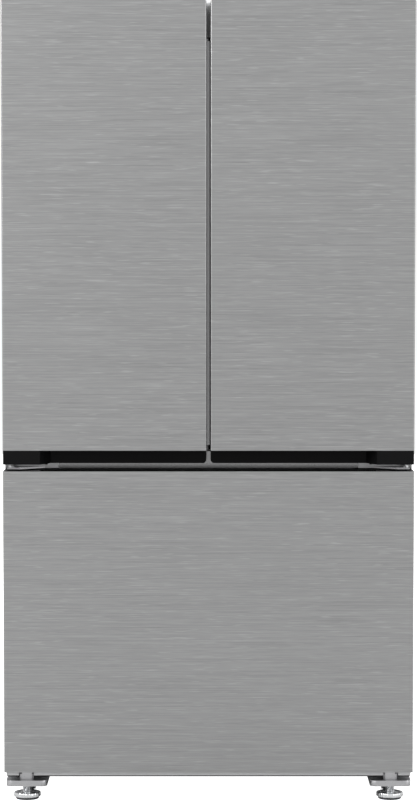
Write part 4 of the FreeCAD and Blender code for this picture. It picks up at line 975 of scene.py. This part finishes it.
def screw_head(bm, centre, axis, direction, radius, rise):
    """A domed head with a six-sided socket, its dome facing along the axis or against it."""
    def six_sided(reach, height, turn):
        if reach > radius * 0.5:
            return reach
        sector = (turn + math.pi / 6) % (math.pi / 3) - math.pi / 6
        return reach * math.cos(math.pi / 6) / math.cos(sector)

    dome = [(0.9, 0.0), (1.0, 0.2), (0.95, 0.6), (0.75, 0.92), (0.55, 1.0), (0.48, 1.0), (0.44, 0.35)]
    outline = [(reach * radius, direction * height * rise) for reach, height in dome]
    spin(bm, outline, centre, axis, 24, six_sided)


def make_screws(name, heads, axis, direction, radius, rise):
    bm = bmesh.new()
    for centre in heads:
        screw_head(bm, centre, axis, direction, radius, rise)
    return add_piece(name, bm, CHROME, "cabinet")


def make_hinge_screws():
    """Screws stand up on the top hinges and face forwards on the middle ones."""
    top_heads, front_heads = [], []
    for low, high in solids_of("hinge_screws"):
        x, y, z = middle(low, high)
        if high[1] - low[1] < SHORT_SCREW:
            front_heads.append((x, high[1], z))
        else:
            top_heads.append((x, y, high[2] - HINGE_HEAD_RISE))
    top = make_screws("hinge_top_screws", top_heads, "z", 1, HINGE_HEAD_RADIUS, HINGE_HEAD_RISE)
    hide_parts("hinge_screws")
    make_screws("hinge_rail_screws", front_heads, "y", -1, HINGE_HEAD_RADIUS, HINGE_HEAD_RISE)
    print(len(top_heads), "top and", len(front_heads), "rail screws")


make_hinge_screws()

# %% [markdown]
# ## Fan blades
# A blade that moves air has more pitch at its root than at its tip, because the tip travels faster.
# Each blade is a thin twisted plate, swept back a little, that starts inside the hub.

# %% Fan blades
FAN_HALF_WIDTH = 9 * MM
HUB_RADIUS = 18 * MM
SHAFT_BORE = 3.2 * MM
BLADES = 5
BLADE_ROOT = 0.9 * HUB_RADIUS
BLADE_HALF = 0.6 * MM
BLADE_BOW = 1.2 * MM
ROOT_PITCH = 52.0
TWIST = 24.0
SWEEP = 0.3
ROWS_ALONG = 8
ROWS_ACROSS = 7


def blade_sheet(bm, radius, start, face_side, turned, centre):
    """One face of a twisted blade, as rows of corners from its root to its tip."""
    limit = FAN_HALF_WIDTH - 0.2 * MM
    grid = []
    for share in spread(0.0, 1.0, ROWS_ALONG + 1):
        reach = BLADE_ROOT + (radius - BLADE_ROOT) * share
        pitch = math.radians(ROOT_PITCH - TWIST * share)
        chord = 11 * MM + 9 * MM * math.sin(math.pi * min(1.0, 0.25 + share))
        line = []
        for across in spread(-0.5, 0.5, ROWS_ACROSS + 1):
            bow = BLADE_BOW * (1.0 - (2.0 * across) ** 2)
            rise = across * chord * math.sin(pitch) + bow + face_side * BLADE_HALF
            rise = max(-limit, min(limit, rise))
            turn = start + across * chord * math.cos(pitch) / reach - SWEEP * share
            point = Vector((reach * math.cos(turn), reach * math.sin(turn), rise))
            line.append(bm.verts.new(turned @ point + centre))
        grid.append(line)
    return grid


def blade(bm, sheets):
    """Closes two sheets of corners into one blade."""
    for grid in sheets:
        for near, far in zip(grid, grid[1:]):
            for column in range(ROWS_ACROSS):
                bm.faces.new((near[column], near[column + 1], far[column + 1], far[column]))
    edges = [[row[0] for row in grid] + grid[-1][1:ROWS_ACROSS] + [row[ROWS_ACROSS] for row in grid[::-1]]
             for grid in sheets]
    corners = list(zip(*edges))
    for (front, back), (front_next, back_next) in zip(corners, corners[1:]):
        bm.faces.new((front, front_next, back_next, back))


print("each blade has", 2 * (ROWS_ALONG + 1) * (ROWS_ACROSS + 1), "corners")

# %% [markdown]
# ## Fans
# The small fan pushes cold air out of the freezer's duct and the large one draws air through the
# condenser. They have the same hub and the same number of blades, so only the radius differs.

# %% Fans
def make_fan(node, axis, radius, material):
    centre = Vector(middle(*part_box(node)))
    half = FAN_HALF_WIDTH
    bm = bmesh.new()
    hub = [(SHAFT_BORE, half), (HUB_RADIUS * 0.8, half), (HUB_RADIUS * 0.96, half - 1.5 * MM),
           (HUB_RADIUS, half - 4 * MM), (HUB_RADIUS, -half), (SHAFT_BORE, -half)]
    spin(bm, hub, centre, axis, 40, bored=True)
    for index in range(BLADES):
        start = 2 * math.pi * index / BLADES
        blade(bm, [blade_sheet(bm, radius, start, side, AXES[axis], centre) for side in (-1, 1)])
    fan = as_object(node + "_blades", bm, material, node)
    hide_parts(node)


make_fan("freezer_fan", "y", 54 * MM, FAN_WHITE)
make_fan("condenser_fan", "x", 68 * MM, DARK_PLASTIC)
print("two fans made")

# %% [markdown]
# ## Mullion caps
# Narrow gaps decide whether two panels look fitted. The mullion that closes the gap between the doors
# ends in caps that nearly reach the cabinet's floor and its ceiling.

# %% Mullion caps
MULLION_X = (-36 * MM, 2.4 * MM)
UPPER_CAP_LEFT = -14 * MM
CAP_DEPTH = 12 * MM


def block_piece(name, low, high, material, body, ease=0.4):
    bm = bmesh.new()
    add_block(bm, low, high, ease * MM)
    add_piece(name, bm, material, body)


def mullion_caps():
    """Plates that end the mullion just over the cabinet's floor and just under its ceiling."""
    low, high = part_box("mullion_bar")
    floor_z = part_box("mid_rail")[1][2]
    y = (low[1] + 0.3 * MM, low[1] + CAP_DEPTH)
    block_piece("mullion_lower_cap", (MULLION_X[0], y[0], floor_z + 0.8 * MM),
                (MULLION_X[1], y[1], low[2] + 3 * MM), RAIL_STEEL, "mullion")
    block_piece("mullion_upper_cap", (UPPER_CAP_LEFT, y[0], high[2] - 12 * MM),
                (MULLION_X[1], y[1], high[2] - 5 * MM), RAIL_STEEL, "mullion")


mullion_caps()
print("mullion caps made")

# %% [markdown]
# ## Trims above the gap
# Behind the top of the gap a light stop hangs from the ceiling, and a light tab on the hinge cover closes
# the last few millimetres between the doors.

# %% Trims above the gap
GUIDE_X = (-6 * MM, 8 * MM)
GAP_TAB_X = (-1 * MM, 4 * MM)


def ceiling_trims():
    """A light stop under the ceiling and a light tab on the cover, seen at the top of the gap."""
    pin_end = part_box("mullion_bar")[1][2]
    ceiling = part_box("fridge_liner")[1][2]
    low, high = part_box("hinge_cover")
    block_piece("ceiling_stop", (GUIDE_X[0], low[1] + 1 * MM, pin_end - 2 * MM),
                (GUIDE_X[1], low[1] + 14 * MM, ceiling - 2 * MM), LIGHT_PLASTIC, "cabinet")
    block_piece("gap_tab", (GAP_TAB_X[0], low[1] - 5 * MM, low[2] - 4 * MM),
                (GAP_TAB_X[1], low[1] + 0.5 * MM, high[2] - 0.5 * MM), LIGHT_PLASTIC, "cabinet")


ceiling_trims()
print("ceiling stop and gap tab made")

# %% [markdown]
# ## Drawer lips
# A soft black lip finishes the back edge of the drawer's groove, and another runs under its panel. The
# lower one stops at the feet, whose nuts stand behind the panel.

# %% Drawer lips
TOP_LIP_INSET = 4 * MM
LOWER_LIP_INSET = 6 * MM
NUT_HALF = 17 * MM


def drawer_lips():
    """Soft black lips behind the drawer's groove and under its panel, clear of the feet's nuts."""
    low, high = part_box("drawer_top_cap")
    block_piece("drawer_top_lip", (low[0] + TOP_LIP_INSET, high[1] - 3 * MM, high[2] - 1 * MM),
                (high[0] - TOP_LIP_INSET, high[1] - 0.6 * MM, high[2] + 1.8 * MM), BLACK_CAP,
                "freezer_drawer", 0.3)
    low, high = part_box("drawer_bottom_cap")
    foot_x = middle(*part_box("right_foot_screw"))[0]
    edge = high[0] - LOWER_LIP_INSET
    inner, outer = foot_x - NUT_HALF, foot_x + NUT_HALF
    bm = bmesh.new()
    for start, end in ((-inner, inner), (outer, edge), (-edge, -outer)):
        add_block(bm, (start, low[1] + 7 * MM, low[2] - 1.2 * MM),
                  (end, low[1] + 10 * MM, low[2] + 0.4 * MM))
    add_piece("drawer_underside_lip", bm, BLACK_CAP, "freezer_drawer")


drawer_lips()
print("drawer lips made")

# %% [markdown]
# ## Ceiling lamps and keys
# A row of small lamps sits under the ceiling's lens, with round touch keys behind it. The lamps are
# domes of a glowing material, which is simpler than a real lamp in each.

# %% Ceiling lamps and keys
LAMPS_IN_ROW = 12
KEYS_IN_ROW = 6
KEY_PITCH = 34 * MM


def lamp_glow():
    """Warm white domes that give out light of their own."""
    light = {"Emission Color": (1.0, 0.97, 0.9, 1.0), "Emission Strength": 1.5}
    return finish("lamp_dome", MOULDED, (0.95, 0.95, 0.9), 0.2, 0.0, light,
                  Drift=0.01, Grain=400.0, Depth=0.02)


def make_lamps():
    low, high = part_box("light_panel")
    dome = [(3.2 * MM, 0.0), (3.0 * MM, -0.8 * MM), (2.0 * MM, -1.5 * MM), (0.8 * MM, -1.8 * MM)]
    bm = bmesh.new()
    for index in range(LAMPS_IN_ROW):
        x = low[0] + (high[0] - low[0]) * (index + 0.5) / LAMPS_IN_ROW
        spin(bm, dome, (x, low[1] + 22 * MM, low[2] + 0.4 * MM), count=16)
    add_piece("ceiling_lamps", bm, lamp_glow(), "cabinet")


def make_touch_keys():
    low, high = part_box("light_panel")
    key = [(7 * MM, 0.0), (6.6 * MM, -0.4 * MM), (5.6 * MM, -0.4 * MM), (5.4 * MM, -0.1 * MM)]
    bm = bmesh.new()
    for index in range(KEYS_IN_ROW):
        x = (index - (KEYS_IN_ROW - 1) / 2) * KEY_PITCH
        spin(bm, key, (x, high[1] - 26 * MM, low[2] + 0.1 * MM), count=24)
    add_piece("touch_keys", bm, TRIM_GREY, "cabinet")


make_lamps()
make_touch_keys()
print(LAMPS_IN_ROW, "lamps and", KEYS_IN_ROW, "keys made")

# %% [markdown]
# ## Rails and beads
# The liner and the door panels are vacuum formed from one sheet each. Rails and beads give such a thin
# sheet its stiffness, and the rails also show where the shelves go.

# %% Rails and beads
RAIL_WIDTH = 3.5 * MM
LINER_WALL = 2 * MM
BEAD_WIDTH = 3 * MM
BEAD_INSET = 12 * MM


def make_rails():
    """Moulded rails on both side walls under every shelf."""
    low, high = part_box("fridge_liner")
    inset = LINER_WALL + 0.1 * MM
    levels = sorted({round(box[0][2], 4) for box in solids_of("shelf_frames")})
    bm = bmesh.new()
    for level in levels:
        for x in (low[0] + inset, high[0] - inset - RAIL_WIDTH):
            add_block(bm, (x, low[1] + 140 * MM, level - 9 * MM),
                      (x + RAIL_WIDTH, high[1] - 40 * MM, level - 3 * MM), 1.2 * MM)
    add_piece("liner_rails", bm, LINER_WHITE, "cabinet")


def make_door_beads(side_name):
    """Raised beads up both sides of a door's inner panel."""
    low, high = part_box(side_name + "_door_bins")
    panel_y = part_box(side_name + "_door_gasket")[0][1]
    bm = bmesh.new()
    for x in (low[0] + BEAD_INSET, high[0] - BEAD_INSET - BEAD_WIDTH):
        add_block(bm, (x, panel_y, low[2] - 120 * MM),
                  (x + BEAD_WIDTH, panel_y + 0.9 * MM, high[2] + 60 * MM), 0.3 * MM)
    add_piece(side_name + "_door_panel_beads", bm, LINER_WHITE, side_name + "_door")


make_rails()
make_door_beads("left")
make_door_beads("right")
print("rails and beads made")

# %% [markdown]
# ## Shelf trims
# A bright strip wraps the front of each shelf's frame, so that its edge is easy to see and to wipe.

# %% Shelf trims
def make_shelf_trims():
    bm = bmesh.new()
    for low, high in solids_of("shelf_frames"):
        front, back = low[1], low[1] + 3 * MM
        outline = [(front - 1.2 * MM, low[2] + 2 * MM), (front - 2.2 * MM, low[2] + 5 * MM),
                   (front - 2.2 * MM, high[2] - 4 * MM), (front - 1.0 * MM, high[2] - 1 * MM),
                   (back, high[2] + 0.6 * MM), (back, low[2] + 2 * MM)]
        skin_loops(bm, [[(x, y, z) for y, z in outline] for x in (low[0] + 1 * MM, high[0] - 1 * MM)])
    add_piece("shelf_front_trims", bm, SLIDE_STEEL, "cabinet")


make_shelf_trims()
print("shelf trims made:", len(solids_of("shelf_frames")))

# %% [markdown]
# ## The back
# The back panel has pressed fields that stiffen it. Shallow rivets and a blank plate, where a rating
# label would go, lie in those fields, and the machine compartment's cover is held by screws.

# %% Back
FIELD_DEPTH = 0.5 * MM
FIELD_INNER = 124 * MM
FIELD_OUTER = 330 * MM
COVER_EDGE = 12 * MM


def row_of_heads(x_values, z_values, y):
    return [(x, y, z) for z in z_values for x in x_values]


def make_back():
    """Shallow rivets and a blank plate in the pressed fields of the back."""
    low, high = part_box("back_panel")
    field = high[1] - FIELD_DEPTH
    levels = spread(low[2] + 60 * MM, high[2] - 100 * MM, 5)
    heads = row_of_heads((-FIELD_OUTER, -FIELD_INNER, FIELD_INNER, FIELD_OUTER), levels, field)
    make_screws("back_panel_rivets", heads, "y", 1, 3.5 * MM, 0.4 * MM)
    block_piece("blank_rating_plate", (FIELD_INNER + 30 * MM, field - 0.1 * MM, low[2] + 110 * MM),
                (FIELD_INNER + 130 * MM, field + 0.4 * MM, low[2] + 160 * MM), ALUMINIUM, "cabinet",
                0.1)


def make_cover_screws():
    low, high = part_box("machine_cover")
    columns = spread(low[0] + COVER_EDGE, high[0] - COVER_EDGE, 5)
    heads = row_of_heads(columns, (low[2] + COVER_EDGE, high[2] - COVER_EDGE), high[1])
    make_screws("machine_cover_screws", heads, "y", 1, 4 * MM, 1.6 * MM)


make_back()
make_cover_screws()
print("back finished")

# %% [markdown]
# ## Fins
# Condenser and evaporator are stacks of thin aluminium fins on bent tubes. The engineering pieces carry
# the tubes and a few thick fins, and the thin ones fill the spaces between them.

# %% Fins
FIN_HALF = 0.15 * MM
EVAPORATOR_FINS = 60
CONDENSER_FINS = 44


def make_evaporator_fins():
    low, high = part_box("evaporator")
    bm = bmesh.new()
    for x in spread(low[0] + 18 * MM, high[0] - 18 * MM, EVAPORATOR_FINS):
        add_block(bm, (x - FIN_HALF, low[1] + 1 * MM, low[2] + 2 * MM),
                  (x + FIN_HALF, high[1] - 1 * MM, high[2] - 2 * MM))
    add_piece("evaporator_fins", bm, ALUMINIUM, "cabinet")


def make_condenser_fins():
    low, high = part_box("condenser")
    bm = bmesh.new()
    for z in spread(low[2] + 22 * MM, high[2] - 12 * MM, CONDENSER_FINS):
        add_block(bm, (high[0] - 40 * MM, low[1] + 12 * MM, z - FIN_HALF),
                  (high[0] - 1 * MM, high[1] - 12 * MM, z + FIN_HALF))
    add_piece("condenser_fins", bm, ALUMINIUM, "cabinet")


make_evaporator_fins()
make_condenser_fins()
print(EVAPORATOR_FINS + CONDENSER_FINS, "thin fins made")

# %% [markdown]
# ## Compressor seam and inlet pins
# The compressor's pot is two pressed halves, so a seam runs round it where they are welded. The power
# inlet has three flat pins in a recess.

# %% Compressor seam and inlet pins
POT_X = -227 * MM
POT_RADIUS = 71.8 * MM
SEAM_RISE = 92 * MM
# Each pin's place sideways and upwards from the socket's middle, in millimetres.
PINS = ((-10, -2), (0, 3), (10, -2))
PIN_HALF_WIDTH = 1.2 * MM
PIN_HALF_HEIGHT = 3.2 * MM


def make_compressor_seam():
    """The welded seam; the pot stands in line with the condenser, in the middle of the compartment."""
    centre = (POT_X, middle(*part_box("condenser"))[1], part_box("compressor")[0][2] + SEAM_RISE)
    seam = [(POT_RADIUS, -3 * MM), (POT_RADIUS + 2.7 * MM, -2.4 * MM), (POT_RADIUS + 3.4 * MM, 0.0),
            (POT_RADIUS + 2.7 * MM, 2.4 * MM), (POT_RADIUS, 3 * MM)]
    ring = spun("compressor_seam", seam, centre, COMPRESSOR_PAINT, "cabinet", count=64)


def make_inlet_pins():
    low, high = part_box("power_inlet")
    level = (low[2] + high[2]) / 2
    bm = bmesh.new()
    for x, rise in PINS:
        x, z = x * MM, level + rise * MM
        add_block(bm, (x - PIN_HALF_WIDTH, high[1] - 19 * MM, z - PIN_HALF_HEIGHT),
                  (x + PIN_HALF_WIDTH, high[1] - 3.2 * MM, z + PIN_HALF_HEIGHT), 0.3 * MM)
    add_piece("inlet_pins", bm, SLIDE_STEEL, "cabinet")


make_compressor_seam()
make_inlet_pins()
